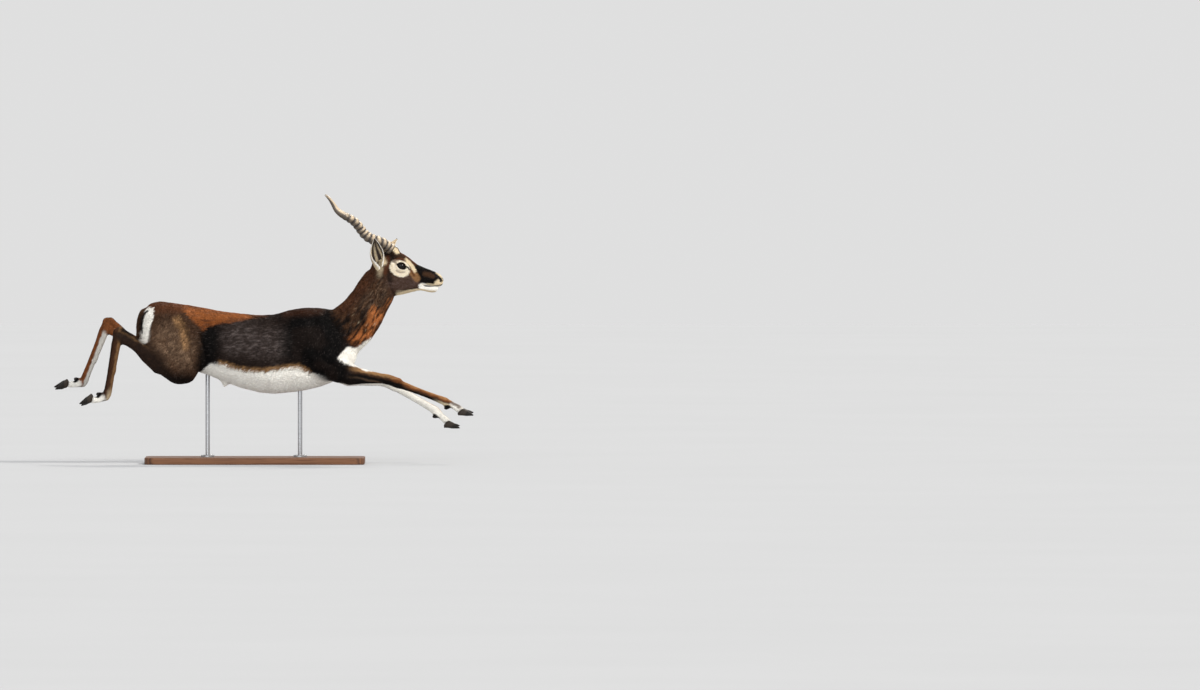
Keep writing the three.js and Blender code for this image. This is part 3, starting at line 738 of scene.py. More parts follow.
# %% Strokes of the body
# parts, width in mm, depth in mm, places in the photograph
STROKES = [
    # haunch: point of the hip, thigh grooves, stifle, buttock, fold of the flank
    ("torso thigh", 16, 3.0, ((187, 309), (190, 313))),
    ("thigh", 11, -3.4, ((181, 320), (187, 334), (191, 350), (192, 364))),
    ("thigh", 12, -2.8, ((160, 318), (163, 332), (168, 348), (172, 358))),
    ("thigh", 20, 2.6, ((173, 324), (178, 342), (181, 358))),
    ("thigh shank", 12, 2.2, ((188, 372), (184, 380))),
    ("torso thigh", 9, -4.2, ((208, 366), (206, 354), (203, 342), (200, 330))),
    ("torso", 30, -4.5, ((212, 326), (222, 332), (226, 342))),
    # ribs and belly
    ("torso", 6, -1.1, ((238, 327), (232, 343), (229, 358))),
    ("torso", 6, -1.2, ((247, 326), (241, 343), (238, 360))),
    ("torso", 6, -1.3, ((256, 326), (250, 344), (247, 361))),
    ("torso", 6, -1.3, ((265, 327), (259, 345), (256, 362))),
    ("torso", 6, -1.2, ((274, 328), (269, 346), (266, 361))),
    ("torso", 6, -1.0, ((283, 330), (279, 347), (276, 360))),
    ("torso", 13, -2.0, ((212, 368), (240, 372), (275, 372), (300, 369), (318, 378))),
    # shoulder blade and its muscles
    ("torso shoulder", 14, 1.6, ((301, 317), (309, 332), (317, 348), (322, 356))),
    ("torso shoulder", 15, -2.4, ((289, 322), (292, 336), (299, 350), (309, 362), (318, 370))),
    ("shoulder torso neck", 14, -1.8, ((314, 318), (324, 334), (332, 348), (338, 357))),
    ("shoulder", 14, 2.6, ((303, 346), (313, 358), (325, 366))),
    ("shoulder forearm", 8, -2.0, ((318, 352), (328, 362), (340, 368))),
    ("torso", 14, 2.2, ((283, 310), (300, 308))),
    # neck: the long muscle, the groove under it, folds of a stretched skin
    ("neck head", 13, 2.6, ((385, 284), (372, 306), (358, 328), (346, 346))),
    ("neck", 8, -2.8, ((390, 300), (378, 318), (364, 338), (352, 352))),
    ("neck", 8, -2.0, ((372, 290), (358, 308), (344, 322), (330, 334))),
    ("neck head", 9, 2.2, ((393, 300), (388, 308))),
    ("neck torso", 5, -1.5, ((326, 312), (336, 324), (342, 338), (344, 350))),
    ("neck torso", 5, -1.4, ((338, 306), (347, 318), (353, 332), (355, 344))),
    ("neck", 5, -1.2, ((350, 298), (359, 310), (364, 324), (366, 336))),
    # cheek and jaw
    ("head", 17, 1.8, ((396, 284), (404, 287))),
    ("head neck", 6, -2.6, ((387, 268), (388, 280), (392, 291), (397, 297))),
    ("head", 5, -1.2, ((401, 294), (411, 291), (420, 289))),
    ("head", 4.5, 1.5, ((403, 279), (412, 279.5), (421, 279))),
    ("head", 6, -1.6, ((414, 275), (423, 276.5), (431, 277))),
    ("head", 3.2, -2.2, ((412.5, 270.5), (415.5, 272), (418, 274.5))),
    ("head", 3.5, 1.2, ((411, 274.5), (415, 276.5), (419, 277))),
    ("head", 6, -2.4, ((388, 262), (391, 268))),
    # nose, lips and chin
    ("head", 2.6, -4.2, ((437.6, 275.6), (439.6, 277.2), (441.6, 279.6), (442.4, 281.6))),
    ("head", 2.6, 1.3, ((436.2, 277.6), (438, 280), (440.4, 282.2))),
    ("head", 2.4, 1.0, ((438.6, 273.6), (441.4, 276), (443.2, 279.2))),
    ("head", 1.9, -2.4, ((444.4, 284.0), (438, 285.6), (431, 286.2), (424.5, 285.6), (421, 283.6))),
    ("head", 3.2, 0.8, ((441.5, 282.6), (434, 283.4), (427, 283.0))),
    ("head", 3.4, 0.9, ((440, 288.3), (433, 289), (427, 288.3))),
    ("head", 3.4, -1.0, ((439, 291.6), (430, 291.6))),
]


def carve(points, normals, shares, strokes):
    """The height that all strokes together add at each point."""
    height = np.zeros(len(points))
    for names, width, depth, places in strokes:
        line = px(*places)
        reach = 2.4 * width * MM
        found, distance, along = near_line(points, line, reach)
        fade = ease(0, 0.18, along) * ease(0, 0.18, 1 - along)
        fade = np.where((along <= 0) | (along >= 1), 0.35, 0.35 + 0.65 * fade)
        facing = ease(0.1, 0.45, np.abs(normals[found, 1]))
        bell = np.exp(-((distance / (width * MM)) ** 2) * 1.6)
        height[found] += depth * MM * bell * fade * facing * share(shares[found], *names.split())
    return height


print(len(STROKES), "strokes")

# %% [markdown]
# On the limbs a stroke runs beside a bone, so that one list serves the left and the right leg in
# their different poses: the groove in front of the heel tendon, the tendons along the cannon, and
# the edges of hock and knee.

# %% Strokes of the limbs
# bone number, width and depth in mm, then places as share along the bone and mm in front of it
LIMB_STROKES = {
    "hind": [
        (1, 7, -3.2, ((0.52, -11), (0.72, -11), (0.93, -10))),
        (1, 6, 1.2, ((0.55, -22), (0.75, -20), (0.95, -19))),
        (2, 4, -1.3, ((0.12, -5), (0.5, -4.5), (0.88, -5))),
        (2, 5, 1.1, ((0.02, 4), (0.14, 4))),
        (2, 9, 3.4, ((0.06, 13), (0.3, 12), (0.6, 11))),
        (2, 9, 1.8, ((0.55, 11), (0.95, 11))),
        (1, 10, 1.6, ((0.6, 16), (0.98, 14))),
    ],
    "fore": [
        (1, 7, -1.8, ((0.15, -2), (0.5, -3), (0.85, -4))),
        (1, 6, 1.5, ((0.9, 7), (0.99, 7))),
        (2, 4, -1.3, ((0.15, -4.5), (0.5, -4), (0.88, -4.5))),
        (2, 5, 1.2, ((-0.04, -12), (0.03, -12))),
        (1, 11, 3.6, ((0.7, 18), (0.98, 16))),
        (2, 11, 3.2, ((-0.02, 15), (0.3, 13), (0.9, 11))),
    ],
}


def limb_strokes():
    """The limb strokes as lines in the side view, each for one limb only."""
    for limb in LIMBS:
        for bone, width, depth, places in LIMB_STROKES[limb[:4]]:
            start, end = (np.array(place) for place in BONES[limb][bone:bone + 2])
            axis = end - start
            front = np.array((-axis[1], axis[0])) / np.linalg.norm(axis)
            line = np.array([start + axis * t + front * s * MM for t, s in places])
            yield limb, width, depth, line


def carve_limbs(points, shares):
    """The height that the limb strokes add at each point."""
    height = np.zeros(len(points))
    for limb, width, depth, line in limb_strokes():
        found, distance, _ = near_line(points, line, 2.4 * width * MM)
        bell = np.exp(-((distance / (width * MM)) ** 2) * 1.6)
        height[found] += depth * MM * bell * share(shares[found], limb)
    return height


print(sum(len(strokes) for strokes in LIMB_STROKES.values()), "strokes for a fore and a hind limb")

# %% [markdown]
# Now the strokes are carved, a fold is drawn above and below the lids, and the whole skin moves in
# by the depth of the coat, so that the tufts end where the solids do.

# %% Carving
COAT_DEPTH = 1.6 * MM
FACE_DEPTH = 0.7 * MM
FOLD_AT = 4.6 * MM
FOLD_WIDTH = 1.3 * MM
FOLD_DEPTH = 1.3 * MM
normals = normals_of(skin)
height = carve(skin_points, normals, skin_shares, STROKES) + carve_limbs(skin_points, skin_shares)
along, up, out = eye_axes(*skin_points.T)
lid_edge = almond(along, up)
round_eye = np.sqrt(along**2 + up**2 + out**2) < EYE_RADIUS + 9 * MM
fold = ridge(lid_edge, FOLD_AT, FOLD_WIDTH) * (up > -2 * MM) * round_eye
height -= FOLD_DEPTH * fold * (lid_edge > 0)
inward = COAT_DEPTH - (COAT_DEPTH - FACE_DEPTH) * share(skin_shares, "head", "cannon", "pastern")
skin_points += normals * (height - inward)[:, None]
move_points(skin, skin_points)
normals = normals_of(skin)
skin_lie = lie_of(skin_shares, normals)
print("sculpted from", round(height.min() / MM, 1), "to", round(height.max() / MM, 1), "mm")

# %% [markdown]
# ## Markings
# Skin and coat carry the same markings, so one function colours both. It works like a painter: a
# base colour, then one patch over another, each with an edge that wanders a little, as fur does. All
# patches are told by lines in the side view or by places on a limb, so both sides get them.

# %% Palette and lines
BLACK = srgb(11, 10, 10)
DARK = srgb(36, 27, 23)
BROWN = srgb(78, 54, 38)
GREY_HAIR = srgb(112, 101, 98)
BROWN_HAIR = srgb(138, 112, 90)
RUFOUS = srgb(136, 78, 40)
RUFOUS_DARK = srgb(94, 56, 36)
ORANGE = srgb(190, 116, 66)
TAN = srgb(196, 150, 102)
CHEEK = srgb(92, 74, 68)
CREAM = srgb(238, 219, 184)
WHITE = srgb(252, 248, 240)
NOSE = srgb(30, 25, 26)

BELLY_LINE = px(
    (196, 378), (200, 374), (207, 367), (213, 362), (220, 362), (230, 365), (240, 368), (250, 369.5),
    (265, 370), (280, 368), (290, 366.5), (300, 366), (308, 370), (315, 375), (320, 380), (327, 384),
)
WEDGE_LINE = px(
    (166, 301), (172, 305), (185, 311), (192.5, 319), (200, 325), (205, 331), (211, 325.5), (226, 323),
    (239, 321), (252.5, 318.5), (265, 316.5), (280, 312), (292, 308),
)
CHEST_LINE = px((334, 366), (338, 357), (341, 352.5), (348, 346.5), (356, 347.5), (371, 336), (380, 328))
FORELEG_LINE = px((326, 350), (338, 357.5), (346, 362), (353, 365.5), (366, 371))
RUMP_PATCH = px((150.8, 310.6), (149.9, 316), (148.2, 322), (146.2, 330), (144.9, 335), (144.2, 340))
# a black line beside the tail: painted shadow that the tail casts on the white patch
TAIL_SHADOW_LINE = px((142.4, 332), (142.6, 324), (143.6, 317), (145.8, 312.6), (149.4, 309.6))
print("belly line from", BELLY_LINE[0].round(2), "to", BELLY_LINE[-1].round(2))

# %% [markdown]
# ## Brushes
# The painting is done with a streak along a line, all that is above a line, and a band between two
# columns of the photograph. Each gives a number from 0 to 1 for every point, soft at its edges.

# %% Brushes
def line_height(line, x):
    """The height of a side-view line at each X."""
    return np.interp(x, line[:, 0], line[:, 1])


def photo_x(column):
    """X in metres of a column of the photograph."""
    return px((column, 0))[0, 0]


def photo_z(row):
    """Z in metres of a row of the photograph."""
    return px((0, row))[0, 1]


def streak(points, places, width, softness=0.5):
    """A patch along a line in the side view, of the given half width in mm."""
    line = px(*places) if isinstance(places, tuple) else places
    found, distance, _ = near_line(points, line, 2 * width * MM)
    result = np.zeros(len(points))
    result[found] = 1 - ease(width * (1 - softness) * MM, width * (1 + softness) * MM, distance)
    return result


def above(points, line, softness):
    """1 above a side-view line, 0 below it, over the given softness in mm."""
    return ease(-softness * MM, softness * MM, points[:, 2] - line_height(line, points[:, 0]))


def between_x(points, first, last, softness=8):
    """1 between two photo columns."""
    x = points[:, 0]
    first, last = photo_x(first), photo_x(last)
    soft = softness * MM
    return ease(first - soft, first + soft, x) * (1 - ease(last - soft, last + soft, x))


def paint_streaks(color, points, streaks, side=1):
    """Streaks over the colours so far: tint, strength, half width in mm, softness, places."""
    for tint, strength, width, softness, places in streaks:
        color = mix(color, tint, strength * streak(points, places, width, softness) * side)
    return color


print("above the belly line", above(skin_points, BELLY_LINE, 3.5).mean().round(2))

# %% [markdown]
# ## Trunk and neck
# A dark male is nearly black at the shoulder, grizzled on the flank and haunch, and rufous along the back.
# Painted sheen and highlights lighten the flank, the shoulder, the haunch and the rufous back, and painted
# shade deepens the black under the haunch. The neck is streaked along its length.

# %% Paint of the trunk
# black under the haunch and along the fold in front of the thigh: the coat's own black, deepened as painted
# shade
UNDER_HAUNCH = [
    (BLACK, 0.9, 30, 0.8, ((152, 362), (162, 374), (174, 381), (190, 381))),
    (BLACK, 0.92, 38, 0.65, ((211, 334), (210, 350), (206, 366))),
]
ALONG_TOP = [
    (RUFOUS_DARK, 0.75, 26, 0.7, ((152, 304), (164, 303), (180, 304))),
    (RUFOUS_DARK, 0.3, 16, 0.9, ((288, 312), (306, 310), (322, 309))),
]


def paint_trunk(points):
    """Colours of the body: black shoulder, grizzled flank and haunch, rufous back, with painted sheen,
    highlights and shade.
    """
    fleck = ease(0.42, 0.8, noise(points * (0.4, 1, 1), 4 * MM, 3))
    patchy = noise(points, 40 * MM, 5)
    # the grey band on the flank is partly grizzled hair and partly painted sheen, where the glossy coat catches
    # the light
    flank = streak(points, ((238, 338), (258, 342), (280, 346)), 58, 0.6)
    color = mix(DARK, GREY_HAIR, flank * (0.14 + 0.5 * fleck))
    haunch = between_x(points, 110, 204, 14)
    color = mix(color, mix(BROWN, DARK, 0.5 * patchy), haunch)
    # the broad pale patch on the haunch is partly grizzled hair and partly a painted highlight on its lit
    # middle; the tan streak over it is a painted highlight
    pale_and_highlit = streak(points, ((168, 338), (176, 350), (184, 352)), 52, 0.7) * haunch
    color = mix(color, BROWN_HAIR, pale_and_highlit * (0.25 + 0.55 * fleck))
    lit = streak(points, ((178, 319), (184, 330), (187, 345)), 13, 0.9) * haunch
    color = mix(color, TAN, lit * (0.25 + 0.4 * fleck))
    # painted shade under the haunch and in the fold of the flank
    color = paint_streaks(color, points, UNDER_HAUNCH)
    shoulder = between_x(points, 284, 352, 44)
    color = mix(color, BLACK, 0.96 * shoulder)
    # dark-brown patches on the black shoulder: a painted sheen of the glossy coat
    color = mix(color, DARK, 0.5 * shoulder * ease(0.5, 0.8, patchy))
    color = mix(color, DARK, 0.5 * streak(points, ((228, 357), (255, 361), (285, 360)), 16, 0.8))
    back = above(points, WEDGE_LINE, 7) * between_x(points, 172, 286, 14)
    strands = noise(points * (0.3, 1, 1), 8 * MM, 8)
    rufous = mix(RUFOUS, RUFOUS_DARK, ease(0.4, 0.75, strands))
    # the brighter orange band in the rufous of the back is partly its own colour and partly a painted highlight
    # from the light above
    rufous = mix(rufous, ORANGE, 0.4 * streak(points, ((188, 312), (215, 314), (245, 315)), 18, 0.9))
    fade = 1 - 0.6 * between_x(points, 255, 300, 30)
    color = mix(color, rufous, 0.94 * back * fade)
    return paint_streaks(color, points, ALONG_TOP)


print(len(UNDER_HAUNCH + ALONG_TOP), "streaks in lists")

# %% [markdown]
# The strands of the neck are a noise that is stretched along it, and orange shines through them.

# %% Paint of the neck
def paint_neck(points):
    """Dark and streaked, with rufous along the throat, brightened as painted rim light, and above the chest."""
    across = points @ np.array((0.835, 0, -0.55))
    length = points @ np.array((0.55, 0.0, 0.835))
    strands = noise(np.stack([across, points[:, 1], length * 0.25], 1), 6 * MM, 11)
    color = mix(DARK, BROWN, 0.2 + 0.8 * ease(0.3, 0.8, strands))
    pale = streak(points, ((388, 280), (380, 292), (372, 300)), 34, 0.8)
    pale = pale * ease(0.4, 0.8, noise(points, 4 * MM, 12))
    color = mix(color, BROWN_HAIR, 0.55 * pale)
    low = streak(points, ((346, 322), (356, 332), (366, 322)), 36, 0.7)
    color = mix(color, BLACK, 0.7 * low * ease(0.75, 0.35, strands))
    color = mix(color, RUFOUS_DARK, 0.5 * streak(points, ((345, 305), (360, 288), (374, 268)), 24, 0.9))
    aside = 0.45 + 0.55 * ease(4 * MM, 26 * MM, np.abs(points[:, 1]))
    # the orange along the front of the throat is partly its own rufous and partly painted rim light, where the
    # sun catches the edge
    throat = aside * streak(points, ((393, 301), (385, 312), (380, 321), (371, 334)), 15, 0.7)
    color = mix(color, ORANGE, 0.85 * throat * (0.2 + 0.8 * ease(0.35, 0.65, strands)))
    patch = streak(points, ((375, 309), (374, 316), (371, 324)), 16, 0.5)
    color = mix(color, ORANGE, 0.9 * aside * patch * ease(0.2, 0.5, strands))
    chest = aside * streak(points, ((345, 344), (353, 341), (361, 336), (369, 329)), 20, 0.7)
    color = mix(color, ORANGE, chest * (0.15 + 0.85 * ease(0.35, 0.62, strands)))
    spark = ease(0.84, 0.93, noise(points, 5 * MM, 13))
    spark = spark * streak(points, ((360, 316), (368, 322)), 40, 0.6)
    return mix(color, CREAM, 0.45 * spark)


print("neck", paint_neck(skin_points[::99]).mean(axis=0).round(3))

# %% [markdown]
# ## Limbs
# A leg is dark outside and pale inside, with a tan front edge that is partly painted highlight, a darker back
# edge on the cannon that is partly painted shade, a white foot and black round the dewclaws, all told by the
# place along and across its bones.

# %% Paint of the limbs
CLAW_PLACES = {
    limb: [np.mean(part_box(f"{limb}_dewclaw_{side}"), axis=0) for side in ("outer", "inner")] for limb in LIMBS
}
CLAW_SHADE = (10.5 * MM, 14 * MM)


def paint_hind_leg(upper_t, upper_s, t, s, inner, grain):
    """Colours of the shank and of the cannon of a hind limb."""
    upper = mix(DARK, BROWN, 0.3 * grain)
    upper = mix(upper, BLACK, 0.6 * ease(-10 * MM, -24 * MM, upper_s))
    # a tan line along the heel tendon: a painted highlight
    tendon = ridge(upper_s, -14 * MM, 3.5 * MM)
    upper = mix(upper, TAN, 0.2 * tendon * ease(0.4, 0.6, upper_t))
    hock = mix(BROWN, RUFOUS, 0.3 + 0.6 * grain)
    medial = mix(mix(WHITE, TAN, 0.25), hock, ease(0.2, 0.55, upper_t))
    upper = mix(upper, medial, ease(0.35, 0.9, inner))
    cannon = mix(mix(BROWN, RUFOUS_DARK, 0.5), DARK, 0.4)
    # darker at the back and tan at the front: partly the coat's own colour, partly painted shade and highlight;
    # the cream low in front is a painted highlight
    cannon = mix(cannon, BLACK, 0.55 * ease(-3 * MM, -8 * MM, s))
    cannon = mix(cannon, TAN, 0.3 * ease(4 * MM, 11 * MM, s))
    cannon = mix(cannon, CREAM, 0.5 * ease(0.8, 1.0, t) * ease(-4 * MM, 6 * MM, s))
    brown_half = mix(RUFOUS_DARK, RUFOUS, grain)
    half = mix(brown_half, WHITE * 0.62, ease(0.5 * MM, 4 * MM, s))
    return upper, mix(cannon, mix(half, hock, ease(0.16, 0.06, t)), inner)


def paint_fore_leg(upper_t, upper_s, t, s, inner, grain, points):
    """Colours of the forearm and of the cannon of a fore limb."""
    upper = mix(BLACK, DARK, 0.5 * grain)
    # brown and then tan towards the front edge: partly the coat's own colour, partly a painted highlight where
    # the light catches the edge
    upper = mix(upper, BROWN, 0.65 * ease(4 * MM, 11 * MM, upper_s))
    upper = mix(upper, TAN, 0.6 * ease(13 * MM, 19 * MM, upper_s))
    tendon = ridge(upper_s, -7 * MM, 3 * MM)
    upper = mix(upper, BROWN_HAIR, 0.3 * tendon * between_x(points, 346, 380, 10))
    knee = ease(0.7, 1.0, upper_t) * ease(2 * MM, 10 * MM, upper_s)
    upper = mix(upper, RUFOUS, 0.6 * knee)
    upper = mix(upper, WHITE, inner)
    # black at the back, rufous and tan towards the front: partly the coat's own colour, partly painted shade
    # and rim light
    cannon = mix(BLACK, BROWN, ease(-6 * MM, 1 * MM, s))
    cannon = mix(cannon, RUFOUS, 0.7 * ease(0, 6 * MM, s))
    cannon = mix(cannon, TAN, 0.6 * ease(6 * MM, 11 * MM, s))
    cannon = mix(cannon, CREAM, 0.7 * ease(0.62, 0.88, t) * ease(1 * MM, -6 * MM, s))
    return upper, mix(cannon, WHITE, inner)


def paint_limb(points, limb, inner, parts):
    """Colours of one limb below the elbow or the stifle, blended by its three parts."""
    upper_t, upper_s = on_bone(points, *BONES[limb][1:3])
    t, s = on_bone(points, *BONES[limb][2:4])
    foot_t, foot_s = on_bone(points, *BONES[limb][3:5])
    grain = noise(points, 6 * MM, 17)
    s = s + (grain - 0.5) * 3 * MM
    if limb.startswith("hind"):
        upper, cannon = paint_hind_leg(upper_t, upper_s, t, s, inner, grain)
        under = ease(4.5 * MM, 8.5 * MM, foot_s)
    else:
        upper, cannon = paint_fore_leg(upper_t, upper_s, t, s, inner, grain, points)
        under = ease(-5 * MM, -9.5 * MM, foot_s)
    foot = mix(WHITE, BLACK, 0.6 * under * ease(0.3, 0.1, foot_t))
    if limb.startswith("fore"):
        front = 0.8 * ease(0.72, 0.45, foot_t) * ease(-1 * MM, 5 * MM, foot_s)
        foot = mix(foot, BROWN, front * (1 - inner))
    foot_share = ease(0.3, 0.6, parts[:, 2] + (grain - 0.5) * 0.2)
    cannon_share = ease(0.25, 0.75, parts[:, 1] / np.maximum(parts[:, 0] + parts[:, 1], 1e-4))
    color = mix(mix(upper, cannon, cannon_share), foot, foot_share)
    for claw in CLAW_PLACES[limb]:
        distance = np.linalg.norm(points - claw, axis=1)
        color = mix(color, BLACK, ease(CLAW_SHADE[1], CLAW_SHADE[0], distance))
    return color


print("claws at", CLAW_PLACES["hind_right"][0].round(3))

# %% [markdown]
# ## Head
# The face has a black muzzle, a white ring round the eye, a cream brow, white lips and a pale chin.
# The nose pad and the nostrils are bare and moist.

# %% Paint of the nose
NOSTRIL_SHADE = ((436.9, 275.4), (439.0, 277.0), (440.6, 279.1), (441.3, 281.0))


def nose_pad_of(points, normals):
    """1 on the bare, moist skin between the nostrils and down to the lip, and in the nostrils."""
    forward = normals @ np.array((math.cos(HEAD_PITCH), 0, -math.sin(HEAD_PITCH)))
    low, high = photo_z(285.2), photo_z(276.6)
    share_up = np.clip((points[:, 2] - low) / (high - low), 0, 1)
    out = np.abs(points[:, 1])
    across = 3 * MM + 9.5 * MM * share_up**1.4 - out
    below = high - 3 * MM * (out / (9 * MM)) ** 2 - points[:, 2]
    gap = np.minimum(np.minimum(across, below), points[:, 2] - low)
    gap = gap + 2 * MM * (noise(points, 4 * MM, 27) - 0.5)
    pad = ease(-0.7 * MM, 0.7 * MM, gap) * ease(0.1, 0.35, forward)
    return np.maximum(pad, streak(points, NOSTRIL_SHADE, 5.2, 0.2))


print("nose pad", int((nose_pad_of(skin_points, normals) > 0.5).sum()), "points")

# %% [markdown]
# The layers go from the dark ground to the fine lines at the eye and the mouth.

# %% Paint of the head
FACE_GROUND = [
    (BLACK, 0.6, 9, 0.8, ((390, 262), (388.5, 272), (391, 280))),
    (RUFOUS_DARK, 0.8, 8, 0.8, ((388, 258), (388, 264), (386, 272))),
    # the black band under the jaw is painted shade of the throat
    (BLACK, 0.6, 9, 0.8, ((398, 293.5), (408, 292), (418, 290))),
]
PROFILE = [(RUFOUS_DARK, 0.8, 5.5, 0.6, ((401, 252.4), (407, 256.6), (412, 260.6), (416, 264.4)))]
BROWS = [
    (CREAM, 0.95, 6.6, 0.35, ((406.4, 260.2), (409.8, 263.2), (412.6, 266.6), (415, 271))),
    (CREAM, 0.95, 9, 0.4, ((391.5, 244), (395, 248.4), (398, 251.6))),
]
EYE_LINES = [
    # the grey-brown crescent under the eye is a painted shadow of the lower lid
    (BROWN_HAIR, 0.55, 2.4, 0.7, ((397, 270.6), (401, 272.6), (405, 271.8))),
    (RUFOUS_DARK, 0.75, 5, 0.6, ((395.4, 260.2), (400, 258.8), (405.4, 260.6))),
    (BROWN, 0.7, 3.6, 0.6, ((393.6, 261.4), (396, 262.6), (396.8, 264.5))),
    (BLACK, 0.97, 2.8, 0.4, ((406.2, 266.4), (408.2, 267.8), (409.8, 269.8))),
    (RUFOUS_DARK, 0.8, 4.2, 0.6, ((411, 269.6), (413, 272.6), (414.6, 275.4))),
]
NOSE_AND_LIPS = [
    (CREAM, 1, 13.5, 0.25, ((440.4, 272.6), (443.4, 276.5), (442, 281.5), (438.6, 284))),
    (BLACK, 0.8, 3.4, 0.5, ((432.6, 271.2), (435, 273.2))),
    (WHITE, 1, 12, 0.2, ((422.5, 286.3), (430, 288.5), (441, 288))),
    (BLACK, 0.85, 2.6, 0.5, ((444.4, 284.0), (438, 285.6), (431, 286.2), (425, 285.8))),
]
EYE_RING_AT = (400.2, 268.4)
EYE_RING_SIZE = (9.9 * PIXEL, 8.6 * PIXEL)
LID_RIM = (1.0 * MM, 2.2 * MM)
LID_REACH = 24 * MM


def eye_ring(points, grain):
    """1 inside the pale oval round the eye, with a slightly rough edge."""
    ring_x = (points[:, 0] - photo_x(EYE_RING_AT[0])) / EYE_RING_SIZE[0]
    ring_z = (points[:, 2] - photo_z(EYE_RING_AT[1])) / EYE_RING_SIZE[1]
    tilt = 0.22 * ring_x * ring_z
    return 1 - ease(0.92, 1.06, np.hypot(ring_x, ring_z) + tilt + 0.1 * (grain - 0.5))


def paint_head(points, normals):
    """Colours of the head, from the neck to the nose."""
    side = ease(0.15, 0.5, np.abs(normals[:, 1]))
    grain = noise(points, 5 * MM, 23)
    color = mix(DARK, BROWN, 0.35 + 0.6 * grain)
    color = mix(color, BLACK, 0.75 * streak(points, ((386, 252), (391, 257), (394, 260)), 17, 0.7))
    cheek = streak(points, ((394, 283), (404, 283), (414, 283)), 26, 0.7) * side
    color = mix(color, CHEEK, cheek * (0.35 + 0.5 * ease(0.45, 0.7, grain)))
    color = paint_streaks(color, points, FACE_GROUND)
    muzzle = streak(points, ((416.5, 266.5), (424, 269), (432, 272.5), (436, 274.5)), 19, 0.3)
    muzzle = np.maximum(muzzle, streak(points, ((419, 274), (424, 279), (432, 281)), 17, 0.3))
    color = mix(color, BLACK, 0.95 * muzzle)
    color = mix(color, BROWN, 0.9 * streak(points, ((425.5, 274), (429, 275), (433, 276)), 8, 0.7) * side)
    tan = streak(points, ((412.5, 272), (415, 275), (417.5, 278.6)), 11.5, 0.35) * side
    color = mix(color, mix(TAN, RUFOUS, 0.5 * grain), 0.6 * tan)
    color = paint_streaks(color, points, PROFILE)
    color = paint_streaks(color, points, BROWS, side)
    outside_lid = ease(0.05, 0.3, np.abs(normals[:, 1]))
    pale = mix(WHITE, CREAM, 0.35 + 0.5 * grain)
    color = mix(color, pale, eye_ring(points, grain) * outside_lid)
    color = paint_streaks(color, points, EYE_LINES, side)
    color = paint_streaks(color, points, NOSE_AND_LIPS)
    below = ease(-0.45, -0.8, normals @ np.array((0.26, 0, 0.966)))
    color = mix(color, CREAM, below * between_x(points, 397, 446, 6))
    patch = streak(points, ((379.5, 257), (383, 260), (384, 262)), 12, 0.5)
    patch = np.maximum(patch, 0.7 * streak(points, ((381, 264), (380.6, 270), (380, 275)), 10, 0.6))
    color = mix(color, CREAM, 0.85 * patch * side)
    color = mix(color, NOSE, nose_pad_of(points, normals))
    along, up, out = eye_axes(*points.T)
    rim = 1 - ease(*LID_RIM, almond(along, up))
    rim = rim * (out > 4 * MM) * (np.hypot(along, up) < LID_REACH)
    return mix(color, BLACK * 0.6, rim)


print("eye ring", int((eye_ring(skin_points, 0.5) > 0.5).sum()), "points")

# %% [markdown]
# ## All markings
# The paint of the parts is blended by the shares of each point. The borders of the white run over
# all of them: the belly, the chest, the inside of the thighs, and the patch of the rump.

# %% Markings
INNER_THIGH = ((0.395, 0.35), (0.30, 0.345))
UNDER_HALF_WIDTH = 75 * MM
FRINGE_LIFT = 9 * MM
RUMP_LOW = (0.418, 0.432)
RUMP_HIGH = (0.462, 0.472)
TAIL_DARKENS = (0.47, 0.43)
SOME_SHARE = 0.002


